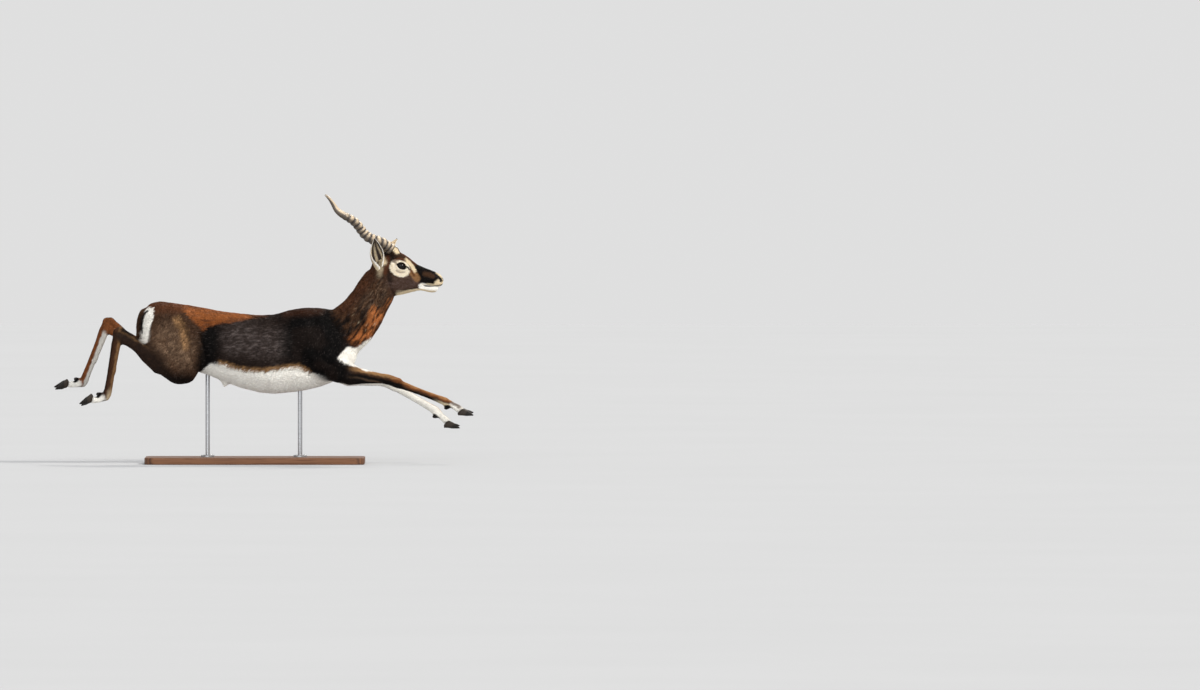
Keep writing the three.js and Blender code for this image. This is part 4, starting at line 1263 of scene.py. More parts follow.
def markings(points, normals, shares):
    """The colour of the coat at each point."""
    wander = 5 * MM * (noise(points, 11 * MM, 1) - 0.5) + 3 * MM * (noise(points, 4 * MM, 2) - 0.5)
    moved = points + np.stack([wander, np.zeros_like(wander), wander], 1)
    color = mix(paint_trunk(moved), paint_neck(moved), share(shares, "neck", "head"))
    outer_limb = np.zeros(len(points))
    for limb in LIMBS:
        hand = -1 if limb.endswith("right") else 1
        inner = ease(0.0, 0.45, -hand * normals[:, 1])
        names = [f"{limb}_{part}" for part in LIMB_PARTS[limb[:4]]]
        limb_share = share(shares, *names[1:])
        found = np.flatnonzero(limb_share > SOME_SHARE)
        parts = np.stack([share(shares[found], name) for name in names[1:]], 1)
        painted = paint_limb(moved[found], limb, inner[found], parts)
        color[found] = mix(color[found], painted, limb_share[found])
        upper = share(shares, names[0]) * inner
        pale = ease(*INNER_THIGH[0], points[:, 2]) * ease(*INNER_THIGH[1], points[:, 2])
        color = mix(color, WHITE, upper * pale * between_x(points, 172, 400, 25))
        outer_limb += share(shares, *names) * (1 - inner)
    on_trunk = share(shares, "torso", "neck") + share(shares, "shoulder") + share(shares, "forearm")
    belly = (1 - above(moved, BELLY_LINE, 3.5)) * between_x(moved, 196, 345, 3)
    fringe = (1 - above(moved - (0, 0, FRINGE_LIFT), BELLY_LINE, 8)) * between_x(moved, 219, 318, 8)
    color = mix(color, TAN, 0.6 * fringe * on_trunk)
    color = mix(color, WHITE, belly * np.minimum(on_trunk, 1))
    underside = ease(-0.2, -0.7, normals[:, 2]) * between_x(moved, 215, 350, 8)
    underside = underside * (np.abs(points[:, 1]) < UNDER_HALF_WIDTH)
    color = mix(color, WHITE, underside * share(shares, "torso", "neck"))
    chest = (1 - above(moved, CHEST_LINE, 4)) * ease(photo_x(336), photo_x(340), moved[:, 0])
    chest = chest * np.maximum(above(moved, FORELEG_LINE, 3), 1 - np.minimum(outer_limb, 1))
    color = mix(color, WHITE, chest * np.minimum(on_trunk, 1) * (points[:, 0] < photo_x(372)))
    rear = share(shares, "torso", "thigh", "tail")
    color = mix(color, DARK, 0.9 * streak(moved, ((138.5, 310), (138.5, 325), (138.8, 342)), 17, 0.3) * rear)
    patch = streak(moved, RUMP_PATCH, 15, 0.12)
    seen_behind = ease(0.35, 0.7, -normals[:, 0]) * between_x(moved, 130, 165, 8)
    out = np.abs(moved[:, 1])
    seen_behind = seen_behind * ease(*RUMP_LOW, moved[:, 2] + 0.5 * out - 10 * MM)
    seen_behind = seen_behind * (1 - ease(*RUMP_HIGH, moved[:, 2] - 0.3 * out))
    color = mix(color, WHITE, np.maximum(patch, seen_behind * share(shares, "torso", "thigh")) * rear)
    on_side = ease(0.1, 0.3, np.abs(normals[:, 1]))
    # painted shadow of the tail along the edge of the white rump patch
    color = mix(color, BLACK, streak(moved, TAIL_SHADOW_LINE, 3.2, 0.3) * rear * on_side)
    tail = mix(BROWN, BLACK, ease(*TAIL_DARKENS, points[:, 2]))
    color = mix(color, tail, share(shares, "tail"))
    found = np.flatnonzero(share(shares, "head") > SOME_SHARE)
    painted = paint_head(moved[found] * 0.3 + points[found] * 0.7, normals[found])
    color[found] = mix(color[found], painted, share(shares[found], "head"))
    return np.clip(color, 0, 1)


skin_colors = markings(skin_points, normals, skin_shares)
set_color(skin, skin_colors)
set_lie(skin, skin_lie)
print("mean colour", skin_colors.mean(axis=0).round(3))

# %% [markdown]
# ## Materials for skin and coat
# The skin's own hair is too fine to model, so it is a bump: a noise that is squeezed along the lie
# of the coat makes short strokes. The tufts of the coat use the same colours, a little lighter at
# their tips, and dark hair shines more than white.

# %% Material helpers
def new_material(name, **settings):
    """A material with its nodes and its shader, whose own sockets take the settings."""
    material = bpy.data.materials.new(name)
    material.use_nodes = True
    shader = material.node_tree.nodes["Principled BSDF"]
    for socket, value in settings.items():
        shader.inputs[socket.replace("_", " ")].default_value = value
    return material, material.node_tree, shader


def add_node(tree, kind, inputs=(), **settings):
    """A node with its settings, whose inputs are numbers or other nodes' outputs."""
    node = tree.nodes.new("ShaderNode" + kind)
    for name, value in settings.items():
        setattr(node, name, value)
    for name, value in dict(inputs).items():
        if isinstance(value, bpy.types.NodeSocket):
            tree.links.new(value, node.inputs[name])
        else:
            node.inputs[name].default_value = value
    return node


def noise_node(tree, **inputs):
    """The grey value of a noise texture."""
    return add_node(tree, "TexNoise", inputs).outputs["Fac"]


def ramp(tree, factor, *stops):
    """A colour ramp from stops of (place, colour)."""
    node = add_node(tree, "ValToRGB", {"Fac": factor})
    elements = node.color_ramp.elements
    while len(elements) < len(stops):
        elements.new(0.5)
    for element, (place, color) in zip(elements, stops):
        element.position = place
        element.color = (*[float(c) for c in color], 1)
    return node.outputs["Color"]


def mix_colors(tree, factor, first, second, blend="MIX"):
    """A Mix node for colours. Its sockets for other kinds have the same names, so type counts too."""
    node = add_node(tree, "Mix", data_type="RGBA", blend_type=blend)
    for name, kind, value in (("Factor", "VALUE", factor), ("A", "RGBA", first), ("B", "RGBA", second)):
        socket = [s for s in node.inputs if s.name == name and s.type == kind][0]
        if isinstance(value, bpy.types.NodeSocket):
            tree.links.new(value, socket)
        elif kind == "VALUE":
            socket.default_value = value
        else:
            socket.default_value = (*[float(c) for c in value], 1)
    return [s for s in node.outputs if s.type == "RGBA"][0]


def markings_times(tree, texture, *stops):
    """The markings of a piece, multiplied by the tints that a ramp makes of a texture."""
    paint = add_node(tree, "Attribute", attribute_name="markings").outputs["Color"]
    return mix_colors(tree, 1.0, paint, ramp(tree, texture, *stops), "MULTIPLY")


def finish_shader(tree, shader, color, rough, bump):
    """Joins a colour, a roughness from (texture, range) and a bump from (texture, strength, depth)."""
    tree.links.new(color, shader.inputs["Base Color"])
    texture, limits = rough
    node = add_node(tree, "MapRange", {"Value": texture, **limits})
    tree.links.new(node.outputs["Result"], shader.inputs["Roughness"])
    texture, strength, depth = bump
    node = add_node(tree, "Bump", {"Height": texture, "Strength": strength, "Distance": depth})
    tree.links.new(node.outputs["Normal"], shader.inputs["Normal"])


print("materials so far", len(bpy.data.materials))

# %% [markdown]
# Each place of the texture slides back along the lie by most of its length, which draws the noise
# out into strokes.

# %% Hair material
def hair_material(name, strokes):
    """Fur of the coat's colours: fine strokes along the lie, gloss where it is dark."""
    material, tree, shader = new_material(name, Specular_IOR_Level=0.05)
    place = add_node(tree, "TexCoord").outputs["Object"]
    lie = add_node(tree, "Attribute", attribute_name="lie").outputs["Vector"]
    vector = "VectorMath"
    along = add_node(tree, vector, {0: place, 1: lie}, operation="DOT_PRODUCT").outputs["Value"]
    squeeze = add_node(tree, "Math", {0: along, 1: -0.86}, operation="MULTIPLY").outputs[0]
    shift = add_node(tree, vector, {0: lie, "Scale": squeeze}, operation="SCALE").outputs[0]
    hair_place = add_node(tree, vector, {0: place, 1: shift}, operation="ADD").outputs[0]
    fine = noise_node(tree, Vector=hair_place, Scale=900.0, Detail=3.0)
    tints = ((0.3, (0.72, 0.72, 0.72)), (0.62, (1.0, 1.0, 1.0)), (0.8, (1.25, 1.22, 1.18)))
    color = markings_times(tree, fine, *tints)
    paint = add_node(tree, "Attribute", attribute_name="markings").outputs["Color"]
    bright = add_node(tree, "RGBToBW", {"Color": paint}).outputs["Val"]
    shine = {"From Max": 0.5, "To Min": 0.46, "To Max": 0.72}
    finish_shader(tree, shader, color, (bright, shine), (fine, strokes, 0.0012))
    return material


skin_material = hair_material("hair_close_to_the_skin", 0.55)
add_piece(skin, skin_material, "coat", *FLESH)
print("the skin stands for", len(FLESH), "nodes")

# %% [markdown]
# ## Ears
# A blackbuck's ear is a long leaf rolled into a cup. It is built as rings of points around the leaf,
# outside and inside, from the root to the tip, with the same sizes as the CAD ear but rounder.

# %% Ear form
EAR_STEPS = 44
EAR_ARC = 30
INSIDE_MARK = 10
EAR_THICK = 2.6 * MM
EARS = {
    "right": {"root": (0.444, -0.031, 0.698), "tip": (0.426, -0.112, 0.799), "facing": (0.3, -1, 0)},
    "left": {"root": (0.447, 0.035, 0.698), "tip": (0.503, 0.112, 0.795), "facing": (0.5, 0.5, -0.3)},
}


def ear_form(root, tip, facing):
    """Points, the share of each along the ear, its place across (marked if inside), and faces."""
    start = np.array(root)
    axis = np.array(tip) - start
    line = unit(axis)
    open_side = np.array(facing, float)
    open_side = unit(open_side - line * open_side.dot(line))
    side = np.cross(line, open_side)
    points, along, across = [], [], []
    for t in np.linspace(-0.06, 1, EAR_STEPS + 1):
        leaf = max(0.0, math.sin(math.pi * min(1.0, 0.22 + 0.78 * max(t, 0)) ** 1.15))
        wide = (3.4 + 24 * leaf * (1 - 0.25 * t)) * MM
        half = math.radians(168 - 82 * min(1.0, max(0.0, (t - 0.08) / 0.5)))
        thick = EAR_THICK * (1 - 0.55 * t)
        centre = start + axis * t - open_side * 7 * MM * math.sin(math.pi * max(t, 0))
        for radius, turn in ((wide, 1), (wide - thick, -1)):
            for k in range(EAR_ARC + 1):
                part = 2 * k / EAR_ARC - 1
                angle = turn * half * part
                lip = thick * 0.35 * (1 - abs(part) ** 12) * (1 if turn > 0 else -1)
                reach = radius - thick * 0.35 * (1 if turn > 0 else -1) + lip
                bowed = open_side * reach * 0.72 * math.cos(angle)
                points.append(centre + side * reach * math.sin(angle) - bowed)
                along.append(t)
                across.append(part if turn > 0 else part + INSIDE_MARK)
    ring = 2 * (EAR_ARC + 1)
    faces = []
    for i in range(EAR_STEPS):
        for k in range(ring):
            a, b = i * ring + k, i * ring + (k + 1) % ring
            faces.append((a, b, b + ring, a + ring))
    for base, order in ((0, 1), (EAR_STEPS * ring, -1)):
        for k in range(EAR_ARC):
            quad = (base + k, base + ring - 1 - k, base + ring - 2 - k, base + k + 1)
            faces.append(quad[::order])
    return np.array(points), np.array(along), np.array(across), np.array(faces)


print("ear rings", EAR_STEPS + 1)

# %% [markdown]
# The back of the ear is brown and pale mixed, and the cup is dark with rows of pale hair and a rim
# of white.

# %% Ears
ear_skins = {}
for side_name, sizes in EARS.items():
    points, along, across, faces = ear_form(**sizes)
    inside = across > INSIDE_MARK / 2
    part = np.where(inside, across - INSIDE_MARK, across)
    rim = ease(0.78, 0.95, np.abs(part))
    grain = noise(points, 5 * MM, 31)
    outer = mix(BROWN_HAIR, CREAM, 0.25 + 0.5 * grain)
    outer = mix(outer, CREAM, 0.8 * ease(0.25, 0.0, along))
    streaky = noise(np.stack([part * 9, along * 2.2, np.zeros_like(along)], 1), 1.0, 33)
    lines = ease(0.25, 0.75, 0.5 * np.cos(part * 13) + streaky) * ease(1.0, 0.4, along)
    inner = mix(srgb(74, 62, 56), CREAM, 0.9 * lines)
    color = mix(np.where(inside[:, None], inner, outer), WHITE, 0.9 * rim)
    color = mix(color, DARK, 0.5 * ease(0.93, 1.0, along))
    ear = new_mesh(f"ear_{side_name}_skin", points, faces)
    ear_normals = normals_of(ear)
    if (ear_normals[~inside] * (points[~inside] - points[inside].mean(0))).sum() < 0:
        ear.flip_normals()
    set_color(ear, color)
    line = unit(np.array(sizes["tip"]) - np.array(sizes["root"]))
    set_lie(ear, np.tile(line, (len(points), 1)))
    add_piece(ear, skin_material, "ear_coat", f"ear_{side_name}")
    ear_skins[side_name] = (ear, color, inside)
print("ears", len(points), "points each")

# %% [markdown]
# ## Eyes
# A hoofed animal's eye is dark brown with a pupil that is a level bar. The eyeball is a ball with a
# bulge for the cornea, coloured by the distance from the middle of its look, and very glossy.

# %% Eyes
EYE_RINGS, EYE_SECTORS = 40, 72


def eyeball(hand):
    """A ball around the eye's own axes, with its iris and pupil as colours."""
    angle = np.linspace(0, math.pi, EYE_RINGS + 1)[:, None]
    turn = np.linspace(0, 2 * math.pi, EYE_SECTORS, endpoint=False)[None, :]
    bulge = 1 + 0.055 * np.exp(-((angle / 0.55) ** 2) * 1.4)
    radius = (EYE_RADIUS - 0.3 * MM) * bulge
    along = (radius * np.sin(angle) * np.cos(turn)).ravel()
    up = (radius * np.sin(angle) * np.sin(turn)).ravel()
    out = (radius * np.cos(angle) + 0 * turn).ravel()
    local = along[:, None] * EYE_ALONG + up[:, None] * EYE_UP + out[:, None] * EYE_LOOKS + EYE
    x = HEAD_AT[0] + local[:, 0] * math.cos(HEAD_PITCH) + local[:, 2] * math.sin(HEAD_PITCH)
    z = HEAD_AT[1] - local[:, 0] * math.sin(HEAD_PITCH) + local[:, 2] * math.cos(HEAD_PITCH)
    points = np.stack([x, hand * local[:, 1], z], 1)
    from_middle = np.arccos(np.clip(out / np.linalg.norm(local - EYE, axis=1), -1, 1))
    turns = (turn + 0 * angle).ravel()
    spokes = noise(np.stack([np.cos(turns), np.sin(turns), from_middle * 0.3], 1), 0.09, 41)
    iris = mix(srgb(13, 9, 8), srgb(27, 17, 12), ease(0.3, 0.8, spokes))
    bar = np.maximum(np.abs(along) / (6.6 * MM), np.abs(up) / (3.2 * MM))
    color = mix(iris, srgb(6, 6, 9), 1 - ease(0.85, 1.1, bar))
    color = mix(color, srgb(12, 9, 8), ease(0.68, 0.78, from_middle))
    color = mix(color, srgb(40, 28, 24), ease(0.95, 1.3, from_middle))
    faces = []
    for i in range(EYE_RINGS):
        for k in range(EYE_SECTORS):
            n = (k + 1) % EYE_SECTORS
            low, high = i * EYE_SECTORS, (i + 1) * EYE_SECTORS
            faces.append((low + k, high + k, high + n, low + n))
    return points, color, np.array(faces)


eye_material, tree, shader = new_material("wet_eye", Roughness=0.05, Specular_IOR_Level=0.15)
veins = noise_node(tree, Scale=420.0, Detail=2.0)
color = markings_times(tree, veins, (0.3, (0.8, 0.8, 0.8)), (0.7, (1.15, 1.12, 1.1)))
tree.links.new(color, shader.inputs["Base Color"])
for side_name, hand in (("right", -1), ("left", 1)):
    points, color, faces = eyeball(hand)
    ball = new_mesh(f"eyeball_{side_name}", points, faces if hand < 0 else faces[:, ::-1])
    turn_out(ball)
    set_color(ball, color)
    add_piece(ball, eye_material, "eye", f"eye_{side_name}")
print("eyeballs of", round(2 * EYE_RADIUS / MM, 1), "mm")

# %% [markdown]
# ## Horns
# The horn is a rod that winds slowly round its own line. Evenly spaced rings of horn run round its
# lower three quarters and fade out before the smooth tip. The path and the radii are those of the
# CAD horn, and the rings are a wave added to the radius, steep on the side towards the tip.

# %% Horn path
HORN_ROOT = (0.490, 0.024, 0.757)
HORN_TIP = (0.2485, 0.122, 0.956)
HORN_PEDICLE = [(0.5025, 0.0203, 0.7385, 0.010), (0.4985, 0.0214, 0.7445, 0.0145)]
HORN_BOW = -15 * MM
HORN_COIL = 6.5 * MM
HORN_TURNS = 2.2
HORN_PHASE = 0.32
HORN_RADII = np.array((18.5, 17.6, 16.6, 15.6, 14.4, 12.6, 9.6, 5.6, 1.2)) * MM
HORN_STEPS = 420
BLUR_ROWS = 17
TIP_ROWS = 9


def horn_path(s, hand):
    """Places on the horn's middle line for shares s of its length."""
    root = np.array(HORN_ROOT) * (1, hand, 1)
    chord = np.array(HORN_TIP) * (1, hand, 1) - root
    across = -unit(np.array((-chord[2], 0, chord[0])))
    aside = np.array((0, hand, 0))
    swell = np.sin(math.pi * s)
    turn = 2 * math.pi * HORN_TURNS * (s - HORN_PHASE) + math.pi
    coil = HORN_COIL * np.minimum(1, 1.6 * swell)
    return (
        root
        + s[:, None] * chord
        + (HORN_BOW * swell + coil * np.cos(turn))[:, None] * across
        + (1.6 * coil * np.sin(turn))[:, None] * aside
    )


def horn_line(hand):
    """Shares of the length, places on the middle line and radii, from under the skin to the tip."""
    s = np.linspace(0, 1, HORN_STEPS)
    middle = horn_path(s, hand)
    radius = np.interp(s, np.linspace(0, 1, len(HORN_RADII)), HORN_RADII)
    pedicle = np.array(HORN_PEDICLE)
    low = pedicle[:, :3] * (1, hand, 1)
    middle = np.vstack([low, middle])
    radius = np.concatenate([pedicle[:, 3], radius])
    padded = np.pad(radius, BLUR_ROWS // 2, mode="edge")
    radius = np.convolve(padded, np.ones(BLUR_ROWS) / BLUR_ROWS, "valid")
    radius[-TIP_ROWS:] = np.linspace(radius[-TIP_ROWS - 1], 0.6 * MM, TIP_ROWS)
    return np.concatenate([[-0.03, -0.015], s]), middle, radius


print("horn", np.linalg.norm(np.array(HORN_TIP) - HORN_ROOT).round(3), "m in a straight line")

# %% [markdown]
# The crests of the rings wear pale, while the grooves and the root stay dark. The upper side is also painted
# paler and the under side darker, as painted highlight and painted shade.

# %% Horn mesh
HORN_RINGS = 13
HORN_RINGED = 0.74
HORN_RISE, HORN_FALL = 0.55, 0.45
HORN_SIDES = 40
HORN_UPWARD = (0.45, 0, 0.89)
HORN_DARK = srgb(44, 34, 29)
HORN_PALE = srgb(190, 170, 142)


def horn_mesh(name, hand):
    """One horn with its rings, colours and lie."""
    s, middle, radius = horn_line(hand)
    ahead = unit(np.gradient(middle, axis=0))
    side = unit(np.cross(ahead, (0, 1, 0)))
    over = np.cross(side, ahead)
    turn = np.linspace(0, 2 * math.pi, HORN_SIDES, endpoint=False)
    wave_place = s[:, None] / HORN_RINGED * HORN_RINGS + 0.10 * np.sin(turn[None, :] + 9 * s[:, None])
    phase = wave_place % 1
    rise = np.sin(phase / HORN_RISE * math.pi / 2) ** 1.6
    fall = np.maximum(np.cos((phase - HORN_RISE) / HORN_FALL * math.pi / 2), 0) ** 0.8
    ring = np.where(phase < HORN_RISE, rise, fall)
    fade = ease(HORN_RINGED, HORN_RINGED - 0.14, s)
    high = (3.4 - 1.4 * s) * MM * fade
    around = np.stack([3 * np.cos(turn), 3 * np.sin(turn), np.zeros_like(turn)], 1)
    rough = 0.35 * MM * (noise(around, 0.4, 51) - 0.5)
    reach = radius[:, None] + high[:, None] * (ring - 0.45) + rough[None, :] * fade[:, None]
    points = (
        middle[:, None]
        + (np.cos(turn)[None, :] * reach)[..., None] * side[:, None]
        + (np.sin(turn)[None, :] * reach)[..., None] * over[:, None]
    ).reshape(-1, 3)
    rows = len(s)
    i, k = np.meshgrid(np.arange(rows - 1), np.arange(HORN_SIDES), indexing="ij")
    n = (k + 1) % HORN_SIDES
    low, high = i * HORN_SIDES, (i + 1) * HORN_SIDES
    faces = np.stack([low + k, low + n, high + n, high + k], -1)
    mesh = new_mesh(name, points, faces.reshape(-1, 4))
    turn_out(mesh, HORN_SIDES)
    mesh.shade_smooth()
    crest = (ring * fade[:, None]).reshape(-1)
    smooth_part = np.repeat(1 - fade, HORN_SIDES)
    fibres = [np.tile(turn * 9, rows), np.repeat(s * 40, HORN_SIDES), np.zeros_like(crest)]
    grain = noise(np.stack(fibres, 1), 1.0, 53)
    # painted highlight and shade: the side that faces up is made paler, the under side darker
    upper = ease(-0.35, 0.75, normals_of(mesh) @ np.array(HORN_UPWARD))
    pale_and_highlit = ease(0.25, 0.95, crest + 0.6 * (grain - 0.5)) * (0.16 + 0.84 * upper)
    color = mix(HORN_DARK, HORN_PALE, pale_and_highlit)
    # the smooth tip is dark with a pale top edge: a painted highlight
    pale_and_highlit = ease(0.6, 1.0, upper + 0.2 * (grain - 0.5))
    color = mix(color, mix(HORN_DARK, HORN_PALE, 0.1 + 0.85 * pale_and_highlit), smooth_part)
    root_dark = np.repeat(ease(0.06, 0.0, s), HORN_SIDES)
    color = mix(color, HORN_DARK, 0.6 * root_dark)
    set_color(mesh, color)
    set_lie(mesh, np.repeat(ahead, HORN_SIDES, axis=0))
    return mesh


horn_look = {"Specular_IOR_Level": 0.5, "Coat_Weight": 0.15, "Coat_Roughness": 0.3}
horn_material, tree, shader = new_material("ringed_horn", **horn_look)
fibre = noise_node(tree, Scale=320.0, Detail=4.0, Roughness=0.65)
tints = ((0.25, (0.66, 0.64, 0.62)), (0.55, (1.0, 1.0, 1.0)), (0.8, (1.2, 1.18, 1.12)))
color = markings_times(tree, fibre, *tints)
finish_shader(tree, shader, color, (fibre, {"To Min": 0.34, "To Max": 0.62}), (fibre, 0.5, 0.0008))
for side_name, hand in (("right", -1), ("left", 1)):
    add_piece(horn_mesh(f"horn_sheath_{side_name}", hand), horn_material, "horn", f"horn_{side_name}")
print("horns with", HORN_RINGS, "rings each")

# %% [markdown]
# ## Hooves
# The CAD claws have the right form with flat facets. A fine distance field of each one rounds them,
# and a colour that runs in bands from the hairline to the toe gives the rings that a hoof grows.

# %% Hooves
HOOF_NODES = [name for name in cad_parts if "hoof" in name or "dewclaw" in name]
HOOF_VOXEL = 1.0 * MM
HOOF_MARGIN = 12 * MM
hoof_material, tree, shader = new_material("black_hoof", Specular_IOR_Level=0.15)
grain = noise_node(tree, Scale=500.0, Detail=4.0)
color = markings_times(tree, grain, (0.3, (0.6, 0.6, 0.6)), (0.75, (1.2, 1.16, 1.12)))
finish_shader(tree, shader, color, (grain, {"To Min": 0.4, "To Max": 0.65}), (grain, 0.35, 0.0006))
for node in HOOF_NODES:
    low, high = (np.array(corner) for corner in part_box(node))
    limb = "_".join(node.split("_")[:2])
    claw = Field(low - HOOF_MARGIN, high + HOOF_MARGIN, HOOF_VOXEL)
    claw.melt(*claw.block_of(node), 1 * MM)
    claw.soften(3)
    points, faces = claw.surface()
    fetlock, hairline = (np.array(place) for place in BONES[limb][3:5])
    toe = unit(hairline - fetlock)
    run = (points[:, [0, 2]] - hairline) @ toe
    if "dewclaw" not in node:
        # the wall leans in towards the hairline, so that the hair of the foot lies over its edge
        middle = np.array((hairline[0], (low[1] + high[1]) / 2, hairline[1]))
        ahead = np.array((toe[0], 0, toe[1]))
        axis = middle + ((points - middle) @ ahead)[:, None] * ahead
        points = axis + (points - axis) * (0.96 + 0.2 * ease(-3 * MM, 10 * MM, run))[:, None]
    bands = 0.5 + 0.5 * np.sin(run / (1.1 * MM) + 1.5 * noise(points, 12 * MM, 61))
    color = mix(srgb(11, 10, 10), srgb(52, 46, 41), 0.55 * bands)
    if "dewclaw" not in node:
        color = mix(color, srgb(70, 60, 52), 0.4 * ease(4 * MM, -3 * MM, run))
    hoof = new_mesh(f"horn_of_{node}", points, faces)
    swell = normals_of(hoof) * (0.25 * MM * (bands - 0.5))[:, None]
    move_points(hoof, points + swell)
    set_color(hoof, color)
    add_piece(hoof, hoof_material, "hoof", node)
print(len(HOOF_NODES), "hooves and dewclaws")

# %% [markdown]
# ## Coat
# Hair could be grown with a particle system, but tufts of solid mesh show the same in every program.
# A tuft is a thin three-sided lock of seven points: three under the skin, three at its middle, and
# the tip. It leaves the skin along the lie of the coat and is bent back to the surface, so that it
# covers the roots of the tufts behind it.

# %% Tuft sizes
# length, width and lift of the tip in mm, and tufts for each square cm
TUFTS = {
    "torso": (13, 1.9, 1.4, 10),
    "neck": (16, 2.0, 2.0, 10.5),
    "head": (5.8, 1.1, 0.8, 36),
    "tail": (20, 2.0, 2.5, 14),
    "thigh": (12, 1.8, 1.2, 10),
    "shoulder": (12, 1.8, 1.2, 10),
    "shank": (9, 1.5, 0.9, 15),
    "forearm": (9, 1.5, 0.9, 15),
    "cannon": (7, 1.2, 0.6, 26),
    "pastern": (6.5, 1.1, 0.6, 32),
}
TUFT_TABLE = np.array([TUFTS[node.split("_")[-1]] for node in FLESH], float)
EAR_TUFT = (6.5, 1.1, 0.7, 24)
ROOT_DEPTH = 1.0 * MM
COAT_SEED = 5
luck = np.random.default_rng(COAT_SEED)
print("tufts for a square cm, from", TUFT_TABLE[:, 3].min(), "to", TUFT_TABLE[:, 3].max())

# %% [markdown]
# Each face gets roots by its area, with one chance for the part of a root that is left over, so that
# they lie evenly.

# %% Roots
def face_areas(points, faces):
    """The area of each triangle."""
    a, b, c = (points[faces[:, k]] for k in range(3))
    return np.linalg.norm(np.cross(b - a, c - a), axis=1) / 2


def scatter(points, faces, density):
    """Random places on a surface: the corners of each one's face, and their weights."""
    expected = face_areas(points, faces) * 1e4 * density[faces].mean(axis=1)
    count = np.floor(expected + luck.random(len(faces))).astype(int)
    owner = np.repeat(np.arange(len(faces)), count)
    a, b = np.sqrt(luck.random(len(owner))), luck.random(len(owner))
    return faces[owner], np.stack([1 - a, a * (1 - b), a * b], 1)


def at_roots(values, corners, weights):
    """Values of the surface's points, blended at each root."""
    return (values[corners] * weights[..., None]).sum(axis=1)


print("skin", face_areas(skin_points, triangles_of(skin)).sum().round(2), "square metres")

# %% [markdown]
# A coat is never combed quite straight. A slow noise turns the lie a little from place to place, and
# a quick one gives each tuft its own turn, length and lift. The tips are then laid back on the
# surface: the nearest point of the skin tells how far a tip would stand off or dive in.

# %% Growth
def grow(roots, normal, lie, size, surface, surface_normals):
    """The frame, middle and tip of each tuft, laid along the surface."""
    sideways = np.cross(normal, lie)
    turn = 0.5 * (noise(roots, 30 * MM, 71) - 0.5) + 0.5 * (noise(roots, 8 * MM, 72) - 0.5)
    turn += luck.normal(0, 0.10, len(roots))
    lie = unit(lie + sideways * turn[:, None])
    sideways = np.cross(normal, lie)
    length = size[:, 0] * MM * luck.uniform(0.7, 1.2, len(roots))
    width = size[:, 1] * MM * luck.uniform(0.75, 1.2, len(roots))
    clump = noise(roots, 9 * MM, 73)
    lift = size[:, 2] * MM * (0.35 + 1.3 * clump * luck.uniform(0.3, 1.2, len(roots)))
    tree = KDTree(len(surface))
    for number, point in enumerate(surface):
        tree.insert(point, number)
    tree.balance()
    reach = roots + lie * length[:, None]
    nearest = np.array([tree.find(point)[1] for point in reach])
    drop = ((reach - surface[nearest]) * surface_normals[nearest]).sum(axis=1)
    drop = np.clip(drop, -0.5 * length, 0.5 * length)
    tip = reach + surface_normals[nearest] * (lift - drop)[:, None]
    middle = roots + lie * (0.42 * length)[:, None] - normal * (0.2 * drop)[:, None]
    middle += normal * (0.25 * MM + 0.45 * lift)[:, None]
    return {
        "root": roots, "normal": normal, "lie": lie, "side": sideways,
        "width": width, "middle": middle, "tip": tip,
    }


print("clumps vary by", noise(skin_points, 9 * MM, 73).std().round(2))

# %% [markdown]
# The three points of a ring lie left, right and on top, so a tuft is flat below and has a ridge. Its colour is
# that of the skin at its root, darkened low down as painted shade in the depth of the coat and lighter at the
# tip, with a little chance for each tuft. White hair lets light through, so the painted shade at its roots is
# slight.

# %% Locks
# painted shade: how much the roots and middles of a tuft are darkened, for dark and for light hair
DARK_SHADES = np.array((0.62, 0.62, 0.7, 0.94, 0.94, 1.0, 1.16))
LIGHT_SHADES = np.array((0.92, 0.92, 0.95, 1.0, 1.0, 1.02, 1.05))
TIP_SHADES = np.array((0, 0, 0, 0.3, 0.3, 0.5, 1.0))
RIDGE = 0.30
PATCH = 0.003
PATCH_SHAPE = np.array([(-0.5, -0.5), (0.5, -0.5), (0, -0.4), (-0.4, 0), (0.4, 0), (0, 0.1), (0, 0.5)])
LOCK_FACES = np.array([
    (0, 1, 2), (0, 3, 1), (1, 3, 4), (1, 4, 2), (2, 4, 5),
    (2, 5, 0), (0, 5, 3), (3, 6, 4), (4, 6, 5), (5, 6, 3),
])


def unrolled(points, start, end):
    """Map places from 0 to 1: the angle round a line, and the share along it."""
    start, end = np.array(start, float), np.array(end, float)
    line = unit(end - start)
    side = unit(np.cross(line, (0, 1, 0)))
    offset = points - start
    across = np.arctan2(offset @ np.array((0, 1, 0)), offset @ side) / (2 * math.pi) + 0.5
    along = offset @ line
    along = (along - along.min()) / max(along.max() - along.min(), 1e-6)
    return np.stack([across, along], 1) * (1 - 2 * PATCH) + PATCH


